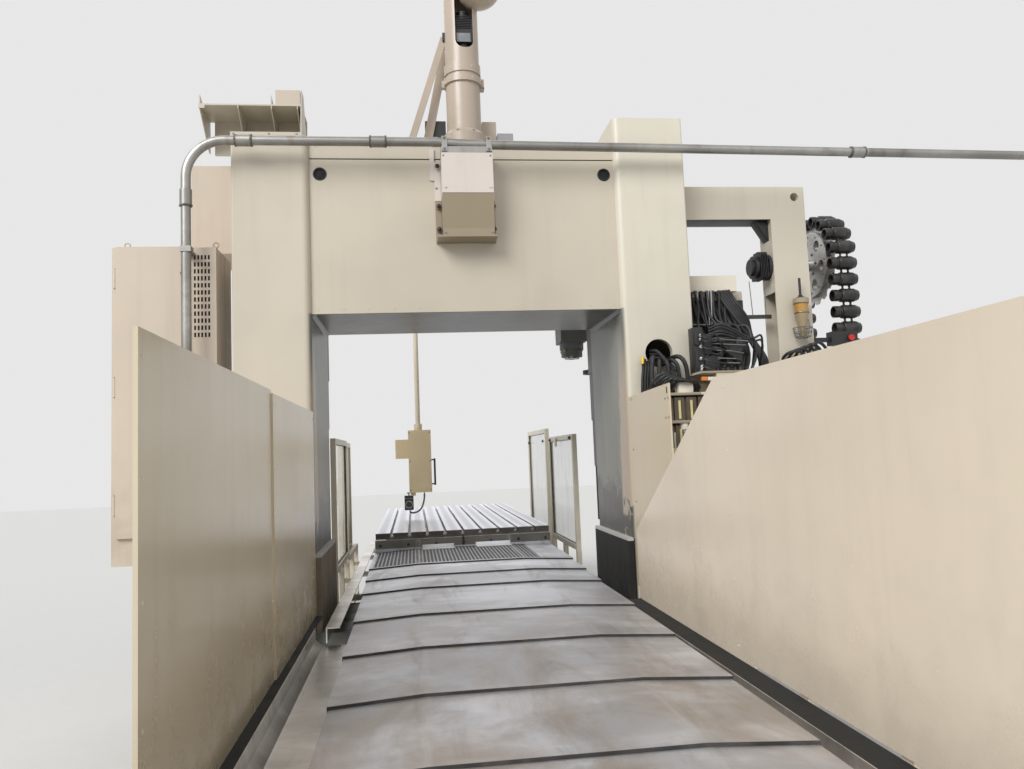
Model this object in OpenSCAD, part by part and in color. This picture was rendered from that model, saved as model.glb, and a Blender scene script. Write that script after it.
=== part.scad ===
/* [Portal] */
// Free width between the two columns
gap_w = 2050; // [1900:10:2200]
// Width of each column, across the machine
col_w = 492; // [440:4:560]
// Depth of each column, along the table travel
col_d = 985; // [900:5:1100]
// Wall of the cast columns, bridge and cross rail
cast_wall = 45; // [30:5:60]
// Top of the right column above the floor
right_top = 3783; // [3700:1:3900]
// Top of the left column above the floor
left_top = 3640; // [3560:1:3660]
// Underside of the bridge above the floor
bridge_z = 2454; // [2350:1:2500]
// Top of the bridge above the floor
bridge_top = 3612; // [3560:1:3640]
// Set-back of the bridge cover behind the columns' rear faces
recess = 40; // [20:1:60]
// Height of the joint between the lower and the top bridge cover
joint_z = 3494; // [3450:1:3520]
// Radius of the rounded inner rear corner of each column
corner_r = 45; // [20:1:60]
// Radius of the cable hole in the right column
cable_hole_r = 95; // [60:1:110]
/* [Bed] */
// Height of the levelling pads
pad_h = 60; // [40:5:90]
// Height of the long bed's top face
bed_top = 470; // [460:1:480]
// Height of the box guideways' running faces
way_z = 560; // [540:1:570]
// Half the width of the long bed
bed_half = 590; // [560:5:620]
// Rear end of the bed, measured along the travel
bed_rear = -3700; // [-3800:10:-3650]
// Distance of each guideway from the centre line
way_x = 420; // [380:5:460]
/* [Table] */
// Width of the table
table_w = 1460; // [1300:10:1500]
// Length of the table
table_l = 3440; // [3000:10:3500]
// Height of the table face above the floor
table_z = 887; // [880:1:900]
// Rear end of the table where it stands
table_y = 1640; // [1600:5:1700]
// Number of T-slots
slot_count = 9; // [5:2:9]
// Pitch of the T-slots
slot_pitch = 150; // [130:5:160]
// Width of a T-slot's neck
slot_w = 22; // [18:1:28]
// Width of a T-slot's head
slot_head = 37; // [30:1:44]
// Radius of the table screw
screw_r = 40; // [32:1:50]
/* [Way covers] */
// Sheet of the telescopic covers
cover_t = 3; // [2:0.5:4]
// Half the width of the widest cover
cover_half = 733; // [720:1:740]
// Height of the highest cover's eaves
cover_z = 735; // [730:1:745]
// Rise of the roof from the eaves to the flat middle
roof_rise = 20; // [10:1:30]
// Half the width of the roof's flat middle
flat_half = 380; // [300:5:420]
// Step down from one cover to the next
step_z = 10; // [9:0.5:11]
// Step in from one cover to the next, each side
step_x = 5; // [4.5:0.5:6]
// Length of a rear cover
cover_l = 900; // [880:10:950]
// Length of a front cover
front_l = 1680; // [1660:10:1700]
/* [Head] */
// Underside of the cross rail above the floor
rail_z = 2700; // [2680:5:2760]
// Height of the cross rail
rail_h = 800; // [700:10:900]
// Spindle centre, across the machine
spindle_x = 1003; // [950:1:1010]
// Spindle centre, along the travel
spindle_y = 1650; // [1640:1:1670]
// Width of the ram
ram_w = 230; // [220:2:240]
// Depth of the ram
ram_d = 260; // [240:2:270]
// Underside of the ram above the floor
ram_z = 2450; // [2440:5:2480]
/* [Guards] */
// Top of the side guards above the floor
guard_top = 1820; // [1750:5:1900]
// Bottom of the side guards above the floor
guard_low = 552; // [548:1:560]
// Folded depth of a guard panel
guard_t = 12; // [10:1:40]
/* [Tool store] */
// Radius of the chain round a sprocket
chain_r = 348; // [346:1:350]
// Pitch of the tool pots on the chain
pot_pitch = 129; // [128:0.5:130]
// Radius of a tool pot
pot_r = 55; // [50:1:56]
/* [Hidden] */
$fn = 48;
cream = [0.86, 0.83, 0.76];
steel = [0.62, 0.62, 0.60];
iron = [0.45, 0.47, 0.48];
black = [0.09, 0.09, 0.09];
// Columns: inner and outer faces, foot height
xi = gap_w / 2;
xo = xi + col_w;
base_top = 440;
// Gap between faces that slide or that meet across two bodies
slip = 0.4;
// Table: ends, underside of the plate, bottom of the body
table_end = table_y + table_l;
plate_t = 52;
body_z = 640;
screw_z = way_z - 5;
// Rear edges of the rear covers where they stand, from the table outwards
rear_edge = [620, 140, -320, -1090, -1760, -2410, -3040, bed_rear];
skirt_z = 575;
// Front covers: front end of the bed, rear ends where they stand
front_end = table_end + 1940;
front_edge = [table_end, table_end + 115, front_end - front_l];
// Column covers: lower edges, heights and front reach
cc_low = [2490, 2125, 1749, 1383, 960];
cc_high = [rail_z, 2525, 2169, 1803, 1440];
cc_y = col_d + 180;
cc_t = 2.5;
// Cross rail and saddle
way_y = col_d + 35;
rail_y = way_y + slip;
rail_back = col_d + 195;
rail_front = rail_y + 380;
rail_way = 30;
rail_end = xo - 20;
saddle_y = rail_front + rail_way + slip;
// Electrical cabinet: outline seen from the rear
cab_x0 = -2242;
cab_x1 = -1611;
cab_d = 420;
cab_z0 = 913;
cab_z1 = 2893;
door_x0 = cab_x0 + 30;
door_x1 = cab_x0 + 452;
door_z0 = 1082;
// Tool store: axes of the sprockets, count of pots on each straight run
store_x = 2984;
store_y = 965;
store_z = 2958;
run_count = 14;
arc_count = 17;
low_z = store_z - run_count * pot_pitch;
// Tool changer frame
atc_x1 = 2511;
atc_post = 268;
atc_y = 250;
atc_d = 200;
atc_top = 3380;
atc_beam = 242;
// Change arm: pivot, underside of the arm, reach to the spindle
arm_x = 1340;
arm_y = spindle_y + 336;
arm_z = 2250;
arm_r = norm([arm_x - spindle_x, arm_y - spindle_y]);
// Pendant: post, boom and drop pole
post_x = -1700;
post_y = 2400;
boom_z = 3200;
pole_x = -345;
pole_y = 3000;

// A box given by its two opposite corners
module block(a, b) {
    translate(a) cube(b - a);
}
// A flat rectangle with round corners, given by its two opposite corners
module rounded(a, b, r) {
    translate([a[0] + r, a[1]]) square([b[0] - a[0] - 2 * r, b[1] - a[1]]);
    translate([a[0], a[1] + r]) square([b[0] - a[0], b[1] - a[1] - 2 * r]);
    for (x = [a[0] + r, b[0] - r], y = [a[1] + r, b[1] - r])
        translate([x, y]) circle(r);
}
// A rod between two points
module rod(a, b, r) {
    v = b - a;
    l = norm(v);
    translate(a) rotate([0, acos(v[2] / l), atan2(v[1], v[0])]) cylinder(r = r, h = l);
}
// A prism along X of a [y, z] outline
module along_x(x0, x1, pts) {
    translate([x0, 0, 0]) rotate([90, 0, 90]) linear_extrude(x1 - x0) polygon(pts);
}
// A prism along Y of a [x, z] shape
module along_y(y0, y1) {
    translate([0, y1, 0]) rotate([90, 0, 0]) linear_extrude(y1 - y0) children();
}
// A folded pan standing in a YZ plane: skin at x0, flanges towards x1
module pan_x(x0, x1, y0, y1, z0, z1, t = 2.5) {
    s = sign(x1 - x0);
    lo = min(x0, x1);
    hi = max(x0, x1);
    difference() {
        block([lo, y0, z0], [hi, y1, z1]);
        block([s > 0 ? lo + t : lo - 1, y0 + t, z0 + t], [s > 0 ? hi + 1 : hi - t, y1 - t, z1 - t]);
    }
}
// Both sides of the machine
module both_sides() {
    children();
    mirror([1, 0, 0]) children();
}
// Tube swept through a list of points
function unit(v) = v / norm(v);
function tangent(p, i) = unit(p[min(i + 1, len(p) - 1)] - p[max(i - 1, 0)]);
function side_of(t) = unit(cross(t, abs(t[2]) > 0.9 ? [1, 0, 0] : [0, 0, 1]));
module tube_path(p, r, n = 8) {
    m = len(p);
    pts = [for (i = [0:m - 1]) let (t = tangent(p, i), a = side_of(tangent(p, 0)),
        b = unit(cross(t, a)), c = cross(b, t))
        for (k = [0:n - 1]) p[i] + r * (cos(360 * k / n) * c + sin(360 * k / n) * b)];
    faces = concat([[for (k = [0:n - 1]) k]],
        [for (i = [0:m - 2], k = [0:n - 1]) [i * n + k, i * n + n + k,
            i * n + n + (k + 1) % n, i * n + (k + 1) % n]],
        [[for (k = [n - 1:-1:0]) (m - 1) * n + k]]);
    polyhedron(pts, faces);
}
// Points of a smooth curve through four control points
function bend(a, b, c, d, n = 12) = [for (i = [0:n]) let (s = i / n)
    pow(1 - s, 3) * a + 3 * pow(1 - s, 2) * s * b + 3 * (1 - s) * s * s * c + s * s * s * d];

// Long cast bed with two box ways, and the cross base under the columns
bed_cells = 18;
cell = (front_end - bed_rear) / bed_cells;
module bed() {
    color(iron) difference() {
        union() {
            block([-bed_half, bed_rear, pad_h], [bed_half, front_end, bed_top]);
            block([-xo, -20, pad_h], [xo, col_d + 40, base_top]);
            for (s = [-1, 1])
                block([s * way_x - 60, bed_rear + 40, bed_top - 1],
                    [s * way_x + 60, front_end - 40, way_z]);
            for (y = [-180, 4140])
                block([-90, y, bed_top - 1], [90, y + 80, screw_z + 60]);
            for (y = [bed_rear + 60, front_end - 180], s = [-1, 1])
                block([s * (bed_half + 60) - 61, y, pad_h], [s * (bed_half + 60) + 61, y + 120, 96]);
        }
        for (y = [-180, 4140])
            translate([0, y - 1, screw_z]) rotate([-90, 0, 0]) cylinder(r = screw_r + 0.05, h = 82);
        // Cored channels, open below
        for (s = [-1, 1])
            block([s * (bed_half - 35) / 2 - 250, bed_rear + 30, pad_h - 1],
                [s * (bed_half - 35) / 2 + 250, front_end - 30, bed_top - 40]);
        for (x = [bed_half + 30, -xo + 40], y = [20, 540])
            block([x, y, pad_h - 1], [x + xo - bed_half - 70, y + 440, base_top - 40]);
        // Holes for the foundation bolts
        for (y = [bed_rear + 120, front_end - 120], s = [-1, 1])
            translate([s * (bed_half + 70), y, pad_h - 1]) cylinder(r = 13, h = 60);
    }
}

// Levelling pads
module bed_feet() {
    color(black) {
        for (i = [1:2:bed_cells - 1], s = [-1, 1])
            pad(s * (bed_half - 60), bed_rear + i * cell);
        for (x = [-xo + 70, xo - 70], y = [60, col_d - 40])
            pad(x, y);
        pad(0, 0);
    }
}
module pad(x, y) {
    translate([x, y, 0]) {
        cylinder(r = 95, h = 22);
        cylinder(r = 58, h = pad_h);
    }
}

// One hollow cast column with its two vertical box ways, inner face at x = 0
module column(top, hole) {
    difference() {
        union() {
            translate([0, 0, base_top]) linear_extrude(top - base_top) column_outline();
            for (x = [60, col_w - 150])
                block([x, col_d - 1, 900], [x + 90, way_y, bridge_top - 40]);
        }
        translate([0, 0, base_top - 1]) linear_extrude(top - base_top - cast_wall + 1)
            translate([cast_wall, cast_wall]) square([col_w - 2 * cast_wall, col_d - 2 * cast_wall]);
        if (hole)
            translate([242, -1, 2143]) rotate([-90, 0, 0]) cylinder(r = cable_hole_r, h = cast_wall + 2);
    }
}
module column_outline() {
    difference() {
        rounded([0, 0], [col_w, col_d], 12);
        square([corner_r, corner_r]);
    }
    translate([corner_r, corner_r]) circle(corner_r);
}
module left_column() {
    color(cream) mirror([1, 0, 0]) translate([xi, 0, 0]) column(left_top, false);
}
module right_column() {
    color(cream) translate([xi, 0, 0]) column(right_top, true);
}

// Hollow cast bridge between the columns
module bridge_beam() {
    z0 = bridge_z + 6;
    color(cream) difference() {
        block([-xi, recess + 8, z0], [xi, col_d - 60, bridge_top - 6]);
        block([-xi + cast_wall, recess + 8 + cast_wall, z0 + cast_wall],
            [xi - cast_wall, col_d - 60 - cast_wall, bridge_top - 6 - cast_wall]);
        for (x = [-600, 0, 600])
            translate([x, col_d - 60 - cast_wall - 1, (bridge_z + bridge_top) / 2])
                rotate([-90, 0, 0]) cylinder(r = 140, h = cast_wall + 2);
    }
}
// Sheet covers of the bridge: rear panel with its underside, and the top cover
module bridge_cover() {
    t = 6;
    g = 4;
    color(cream) {
        difference() {
            union() {
                block([-xi, recess, bridge_z], [xi, recess + 7.7, joint_z - g]);
                block([-xi, recess, bridge_z], [xi, col_d - 60, bridge_z + 5.7]);
                for (s = [-1, 1])
                    translate([s * (xi - 30), recess, bridge_z - 30]) mirror([s < 0 ? 1 : 0, 0, 0])
                        corner_fillet(col_d - 60 - recess);
            }
            for (x = [-957, 957])
                translate([x, recess - 1, 3391]) rotate([-90, 0, 0]) cylinder(r = 38, h = 10);
        }
        block([-xi, recess, joint_z + g], [xi, recess + 7.7, bridge_top]);
        block([-xi, recess, bridge_top - 5.7], [xi, col_d - 60, bridge_top]);
    }
}
// Concave fillet in the top corner of the portal
module corner_fillet(l) {
    translate([0, l, 0]) rotate([90, 0, 0]) linear_extrude(l) difference() {
        square(30);
        circle(30);
    }
}

// Cable entry box on the bridge's rear, with its backing plate and knob screws
module cable_box() {
    y1 = recess;
    color(cream) {
        block([-205, y1 - 12, 2915], [195, y1, 3470]);
        block([-235, y1 - 12, 3345], [-204, y1, 3560]);
        along_x(-163, 172, [[y1 - 12, 3470], [-150, 3470], [-150, 3200], [-118, 2975],
            [-118, 2932], [y1 - 12, 2932]]);
        block([-200, -125, 2920], [190, y1 - 12, 2932]);
        for (p = [[-186, 3435], [-184, 3161], [-184, 3004], [183, 3161], [183, 3004]])
            translate([p[0], y1 - 11, p[1]]) rotate([90, 0, 0]) cylinder(r = 17, h = 26);
        for (x = [-142, 152])
            translate([x, -149, 3243]) rotate([90, 0, 0]) cylinder(r = 8, h = 7);
    }
}

// Tube mast on the bridge, with its windowed head, bowl and struts
mast_x = 21;
mast_y = 215;
mast_r = 120;
window_z = 4317;
module mast() {
    z0 = bridge_top;
    color(cream) {
        translate([mast_x, mast_y, 0]) {
            translate([0, 0, z0]) cylinder(r = 157, h = 18);
            translate([0, 0, z0 + 17]) cylinder(r = 154, h = 80);
            translate([0, 0, z0 + 96]) cylinder(r1 = 154, r2 = mast_r, h = 36);
            translate([0, 0, z0 + 100]) cylinder(r = mast_r, h = 460);
            translate([0, 0, 4080]) cylinder(r = 134, h = 46);
            translate([0, 0, 4150]) cylinder(r = 128, h = 72);
            translate([-148, -20, 4070]) cube([32, 40, 50]);
            translate([116, -20, 4056]) cube([32, 40, 78]);
            difference() {
                translate([0, 0, 4120]) cylinder(r = mast_r - 1, h = 700);
                translate([0, 0, window_z - 40]) cylinder(r = mast_r - 7, h = 520);
                translate([14, -60, window_z + 62]) rotate([90, 0, 0]) cylinder(r = 62, h = 120);
                block([-48, -180, window_z + 62], [76, -20, 4780]);
            }
        }
        translate([142, 120, 0]) intersection() {
            translate([0, 0, 4787]) sphere(r = 170, $fn = 96);
            translate([0, 0, 4617]) cylinder(r = 180, h = 150);
        }
        strut([-371, mast_y, z0 + 8], [-102, mast_y, 4440], 46);
        strut([-256, 300, z0 + 8], [-80, 262, 4440], 60);
        block([-421, mast_y - 40, z0], [-321, mast_y + 40, z0 + 10]);
        block([-306, 262, z0], [-206, 318, z0 + 10]);
    }
}
// Flat bar between two points, standing in a plane of constant y
module strut(a, b, w) {
    v = b - a;
    translate(a) rotate([0, atan2(v[0], v[2]), 0]) translate([-w / 2, -8, 0]) cube([w, 16, norm(v)]);
}

// The three motors outside closed housings: table drive, tool chain drive, mast
module motors() {
    color(black) {
        // Table drive on the bed
        block([-75, -760, bed_top], [75, -420, screw_z + 75]);
        translate([0, -421, screw_z]) rotate([-90, 0, 0]) cylinder(r = 34, h = 201);
        // Chain drive on the inner side of the tool changer post
        translate([atc_x1 - atc_post, atc_y + 100, 2800]) rotate([0, -90, 0]) {
            cylinder(r = 95, h = 24);
            cylinder(r = 74, h = 120);
            translate([0, 0, 100]) cylinder(r = 84, h = 22);
            translate([0, 0, 120]) cylinder(r = 60, h = 24);
        }
        translate([atc_x1 - atc_post - 90, atc_y + 60, 2870]) cube([70, 80, 40]);
        // Motor inside the mast's window
        translate([mast_x + 14, mast_y - 10, window_z - 40]) {
            cylinder(r = 50, h = 100);
            translate([-58, -68, 99]) cube([116, 126, 60]);
            translate([-60, -64, 158]) cube([120, 124, 112]);
            translate([0, 0, 269]) cylinder(r = 45, h = 70);
        }
    }
}

// Steel conduit: floor flange, riser, bend and long run, couplings and clamps
module conduit() {
    r = 30;
    y = -120;
    x0 = -1763;
    br = 240;
    z = 3551;
    p = [[x0 + br, y, z], [-200, y, z], [-20, y, 3537], [4040, y, 3487]];
    color(steel) {
        translate([x0, y, 0]) cylinder(r = 80, h = 14);
        translate([x0, y, 13]) cylinder(r = 44, h = 60);
        translate([x0, y, 10]) cylinder(r = r, h = z - br - 10);
        translate([x0 + br, y, z - br]) rotate([90, 0, 0]) rotate([0, 0, 90])
            rotate_extrude(angle = 90) translate([br, 0]) circle(r);
        for (i = [0:2])
            rod(p[i], p[i + 1], r);
        for (i = [1:2])
            translate(p[i]) rotate([0, 90, 0]) cylinder(r = r + 2, h = 40, center = true);
        for (c = [[-1410, z], [-567, z], [2733, 3503]])
            translate([c[0], y, c[1]]) rotate([0, 90, 0]) cylinder(r = 37, h = 96, center = true);
        translate([4030, y, 3487]) rotate([0, 90, 0]) cylinder(r = 38, h = 50);
        translate([x0, y, 3130]) cylinder(r = 37, h = 100);
        // Clamps on the cable box and on the cabinet top
        for (x = [-140, 150])
            block([x - 18, y - 36, 3480], [x + 18, y + 36, 3580]);
        difference() {
            block([-163, -146, 3470.3], [172, recess - 0.3, 3514]);
            block([-160, -142, 3474], [169, recess - 4, 3515]);
        }
        block([x0 - 29, y - 34, 2830], [x0 + 36, y + 34, 2866]);
        block([x0 - 20, y + 33, 2836], [x0 + 20, 0, 2860]);
    }
}

// Side guards: folded pans on floor posts
module guard_post(x, y, top) {
    block([x - 20, y - 30, 0], [x + 20, y + 30, top]);
    block([x - 60, y - 60, 0], [x + 60, y + 60, 12]);
}
module left_guard() {
    x = -1031;
    // The far pan stands a little nearer to the bed
    far = x + 8;
    px = x - guard_t - 21;
    color(cream) {
        pan_x(x, x - guard_t, -3272, -1492, guard_low, guard_top + 16);
        pan_x(far, far - guard_t, -1488, -6, guard_low, guard_top);
        for (y = [-2950, -2380, -1560, -1410, -750, -90]) {
            guard_post(px, y, guard_top - 120);
            for (z = [guard_low + 80, guard_top - 180])
                block([px + 10, y - 15, z], [(y < -1490 ? x : far) - 1, y + 15, z + 40]);
        }
        // Splice plates between the pans, and brackets to the column
        for (z = [700, 1150, 1600]) {
            block([x - guard_t + 2, -1530, z], [x - 1, -1450, z + 60]);
            block([x - 60, -12, z + 10], [far - 2, -0.3, z + 50]);
        }
    }
}
module right_guard() {
    x = 1019;
    px = x + guard_t + 21;
    o = [[-3650, guard_low + 12], [-1870, guard_low + 12], [-1870, guard_low], [-104, guard_low],
        [-104, 985], [-1577, guard_top], [-3650, guard_top]];
    i = [[-3647, guard_low + 15], [-1867, guard_low + 15], [-1867, guard_low + 3], [-107, guard_low + 3],
        [-107, 983], [-1578, guard_top - 3], [-3647, guard_top - 3]];
    color(cream) {
        difference() {
            along_x(x, x + guard_t, o);
            along_x(x + 2.5, x + guard_t + 1, i);
        }
        for (y = [-3560, -2920, -2280, -1640]) {
            guard_post(px, y, guard_top - 120);
            for (z = [guard_low + 80, guard_top - 180])
                block([x + 1, y - 15, z], [px - 10, y + 15, z + 40]);
        }
        // Small panel against the column, on two spacers and a post
        difference() {
            along_x(1038, 1048, [[-858, 620], [-0.3, 620], [-0.3, 1849], [-858, 1867]]);
            along_x(1040.5, 1049, [[-855, 623], [-3.3, 623], [-3.3, 1846], [-855, 1864]]);
        }
        for (p = [[-560, 720], [-700, 1120]])
            translate([x + 1, p[0], p[1]]) rotate([0, 90, 0]) cylinder(r = 14, h = 1038 - x);
        guard_post(1109, -700, 1500);
        for (z = [760, 1380])
            block([1039, -715, z], [1095, -685, z + 40]);
        // Brackets to the valve cabinet's side
        for (z = [1300, 1780])
            block([1039, -220, z], [1090, -180, z + 40]);
    }
}

// Valve cabinet on the right column's rear: open front with shelves
valve_bays = [[1265, 1460], [1475, 1657], [1673, 1836], [1852, 1972]];
module valve_cabinet() {
    x0 = 1090.3;
    x1 = 1880;
    y0 = -260;
    z0 = 1250;
    z1 = 1985;
    color(cream) difference() {
        block([x0, y0, z0], [x1, -0.3, z1]);
        for (z = valve_bays)
            block([x0 + 20, y0 - 1, z[0]], [1560, -20, z[1]]);
        block([1580, y0 + 20, z0 + 15], [x1 - 15, -20, z1 - 15]);
        // Stepped down on the left, where the column's cables come in
        block([x0 - 1, y0 - 1, valve_bays[3][0]], [1450, 1, z1 + 1]);
    }
}
module valve_blocks() {
    color([0.35, 0.28, 0.2]) {
        for (i = [0:7], b = [1, 2])
            block([1130 + i * 52, -225, valve_bays[b][0]], [1168 + i * 52, -20, valve_bays[b][1] - 25]);
        for (i = [0:3])
            block([1130 + i * 104, -215, valve_bays[0][0]], [1200 + i * 104, -20, valve_bays[0][1] - 45]);
        block([1470, -180, valve_bays[3][0]], [1540, -20, valve_bays[3][0] + 60]);
    }
}

// Electrical cabinet hung on the left column, open behind its door
module cabinet() {
    t = 4;
    color(cream) {
        difference() {
            block([cab_x0, 0, cab_z0], [cab_x1, cab_d, cab_z1]);
            block([cab_x0 + t, t, door_z0 + t], [cab_x1 - t, cab_d - t, cab_z1 - t]);
            block([cab_x0 + t, t, cab_z0 + t], [cab_x1 - t, cab_d - t, door_z0 - t]);
            block([door_x0 + 12, -1, door_z0 + 12], [door_x1 - 12, t + 1, cab_z1 - 12]);
            for (i = [0:11], j = [0:4])
                block([-1748 + j * 21.5, -1, 2315 + i * 45.4], [-1736 + j * 21.5, t + 1, 2344 + i * 45.4]);
        }
        for (z = [1200, 2000])
            block([cab_x1 - 1, 90, z], [-xo, 230, z + 60]);
        for (x = [cab_x0 + 72, cab_x1 - 14])
            translate([x, 60, cab_z1 - 2]) {
                cylinder(r = 11, h = 14);
                translate([0, 0, 32]) rotate([90, 0, 0]) rotate_extrude() translate([16, 0]) circle(5);
            }
        // Gear plate and contactors inside
        block([cab_x0 + 60, cab_d - 40, 1150], [cab_x1 - 60, cab_d - t + 1, 2800]);
        for (i = [0:4], j = [0:4])
            block([cab_x0 + 90 + j * 92, cab_d - 130, 1230 + i * 310], [cab_x0 + 160 + j * 92, cab_d - 39, 1400 + i * 310]);
    }
}
// Door pan with its hinge barrels on the left edge
module cabinet_door() {
    color(cream) {
        difference() {
            block([door_x0, -26, door_z0], [door_x1, -slip, cab_z1]);
            block([door_x0 + 3, -23, door_z0 + 3], [door_x1 - 3, 1, cab_z1 - 3]);
        }
        for (z = [door_z0 + 140, 1950, cab_z1 - 260])
            translate([door_x0 - 9, -13, z]) cylinder(r = 9.5, h = 120);
    }
}

// Boxes on the bridge, on the tray and on the left column's side
module junction_boxes() {
    color(cream) {
        block([-1866, 400, 2954], [-xo, 900, 3574]);
        block([-248, 322, bridge_top], [-102, 400, 3881]);
        block([156, 312, bridge_top], [257, 400, 3875]);
        block([257.3, 250, bridge_top], [369, 350, 3766]);
        block([-1246, 110, 3890], [-1084, 300, 3994]);
    }
}

// Cable tray on the left column: shelf, back plate, gussets, lower rail, end post
module cable_tray() {
    t = 6;
    y0 = 100;
    color(cream) {
        block([-1741, y0, 3880], [-1074, 390, 3890]);
        block([-1700, 380, left_top], [-1074, 390, 3881]);
        for (x = [-1735, -1490, -1275, -1105])
            along_x(x, x + t, [[y0, 3881], [381, 3881], [381, left_top + 12], [360, left_top + 12], [y0, 3860]]);
        for (x = [-1735, -1275])
            along_x(x, x + t, [[y0, 3889], [240, 3889], [y0, 3950]]);
        block([-1539, y0, left_top], [-1074, y0 + 8, left_top + 60]);
        block([-1539, y0, left_top], [-1074, 390, left_top + 8]);
        along_x(-1080, -1074, [[60, left_top], [400, left_top], [210, 3994], [110, 3994]]);
        along_x(-1740, -1700, [[y0, 3860], [y0 + 8, 3860], [y0 + 8, 3889], [y0, 3889]]);
    }
}

// Bent chip troughs each side of the covers, and the far guide strip
module chip_troughs() {
    t = 4;
    color(steel) {
        for (s = [-1, 1]) {
            x1 = s < 0 ? -983 : 905;
            trough(s, abs(x1), t);
        }
        block([-919, -430, 548], [-843, 4600, 556]);
        block([-923, -430, base_top + 30], [-915, 4600, 556]);
        for (y = [-3500, -2300, -1100, 1300, 2600, 3900, 4500], s = [-1, 1])
            block([s * 800 - 120, y, 449 - 30], [s * 800 + 120, y + 60, 451]);
        for (y = [-3500, -2300, -1100, 1300, 2600, 3900, 4500], s = [-1, 1])
            block([s > 0 ? bed_half : -920, y, 409], [s > 0 ? 920 : -bed_half, y + 60, 421]);
        for (y = [1300, 2600, 3900, 4500])
            block([-923, y, 420], [-907, y + 60, base_top + 31]);
    }
}
// One trough: lip, outer wall, sloping foot and floor up to the bed
module trough(s, x, t) {
    y1 = s < 0 ? -430 : 4600;
    o = [[x, 556], [x, 490], [x - 40, 450], [660, 450], [610, 480], [bed_half, 480]];
    i = [[bed_half, 480 + t], [612, 480 + t], [662, 450 + t], [x - 42, 450 + t], [x - t, 492], [x - t, 556]];
    along_y(bed_rear + 60, y1) polygon([for (p = concat(o, i)) [s * p[0], p[1]]]);
}

// Dark covers at the columns' feet, and the fixed lowest column covers
module foot_covers() {
    color(black) {
        for (s = [-1, 1])
            mirror([s < 0 ? 1 : 0, 0, 0])
                along_x(990, xi, [[2, base_top + 1], [col_d - 2, base_top + 1], [col_d - 2, 925], [2, 923]]);
        both_sides() column_cover(4);
        // Strips that close the gaps between the troughs and the guards
        block([905.3, bed_rear + 60, guard_low - 7], [1024, -104, guard_low - 3]);
        block([-1036, bed_rear + 60, guard_low - 7], [-983.3, -10, guard_low - 3]);
    }
}
// Channel round a column's ways: index 0 is the widest
module column_cover(k) {
    x0 = xi + 2 + 6 * k;
    x1 = rail_end - 6 * k;
    y1 = cc_y - 6 * k;
    difference() {
        block([x0, col_d + 5, cc_low[k]], [x1, y1, cc_high[k]]);
        block([x0 + cc_t, col_d + 4, cc_low[k] - 1], [x1 - cc_t, y1 - cc_t, cc_high[k] + 1]);
    }
    // Wiper edge at the foot
    if (k < 4) difference() {
        block([x0, col_d + 5, cc_low[k]], [x1, y1, cc_low[k] + 10]);
        block([x0 + 5.7, col_d + 4, cc_low[k] - 1], [x1 - 5.7, y1 - 5.7, cc_low[k] + 11]);
    }
    if (k == 4) {
        block([x0, way_y + 0.3, cc_low[k]], [x1, y1, cc_low[k] + 12]);
        block([x0, col_d, cc_low[k]], [x0 + 14, col_d + 8, cc_high[k]]);
        block([x1 - 14, col_d, cc_low[k]], [x1, col_d + 8, cc_high[k]]);
    }
}

// Tool changer frame: beam from the column, post to the floor
module atc_frame() {
    y1 = atc_y + atc_d;
    px = atc_x1 - atc_post;
    color(cream) {
        difference() {
            union() {
                block([xo, atc_y, atc_top - atc_beam], [atc_x1, y1, atc_top]);
                block([px, atc_y, 0], [atc_x1, y1, atc_top]);
            }
            block([xo + 10, atc_y + 10, atc_top - atc_beam - 1], [px, y1 - 10, atc_top - 10]);
            block([px + 10, atc_y + 10, 20], [atc_x1 - 10, y1 - 10, atc_top - 10]);
            block([px - 1, atc_y + 10, 1400], [px + 11, y1 - 10, 2600]);
            translate([2436, atc_y - 1, 3304]) rotate([-90, 0, 0]) cylinder(r = 31, h = atc_d + 2);
        }
        translate([2436, atc_y + 1, 3304]) rotate([-90, 0, 0]) difference() {
            cylinder(r = 36, h = atc_d - 2);
            translate([0, 0, -1]) cylinder(r = 31, h = atc_d);
        }
        block([px - 60, atc_y - 60, 0], [atc_x1 + 60, y1 + 60, 20]);
        // Housing of the change arm's shaft, on its bracket from the column's side
        difference() {
            union() {
                block([arm_x - 78, arm_y - 88, arm_z + 80], [arm_x + 78, arm_y + 88, arm_z + 530]);
                block([arm_x + 77, arm_y - 80, arm_z + 110], [xo + 80, arm_y + 80, arm_z + 260]);
                block([xo + 3, 500, arm_z + 110], [xo + 80, arm_y - 79, arm_z + 260]);
                block([xo, 500, arm_z + 90], [xo + 80, col_d - 100, arm_z + 280]);
            }
            translate([arm_x, arm_y, arm_z + 79]) cylinder(r = 45.05, h = 420);
        }
    }
}
// Manifold box on the column's side, with the plate that carries the hoses
module manifold() {
    color(cream) {
        block([xo, atc_y, 2609], [1951, atc_y + 150, 2723]);
        block([xo, atc_y + 170, 2040], [2060, atc_y + 178, 2640]);
        block([xo, atc_y + 140, 2600], [1900, atc_y + 178, 2612]);
        for (z = [2120, 2250, 2380])
            block([1560, atc_y + 60, z], [1640, atc_y + 171, z + 24]);
        block([1940, atc_y + 90, 2420], [px_bar, atc_y + 110, 2448]);
        block([1940, atc_y + 90, 2420], [1960, atc_y + 171, 2448]);
    }
}
px_bar = atc_x1 - atc_post;

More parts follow.
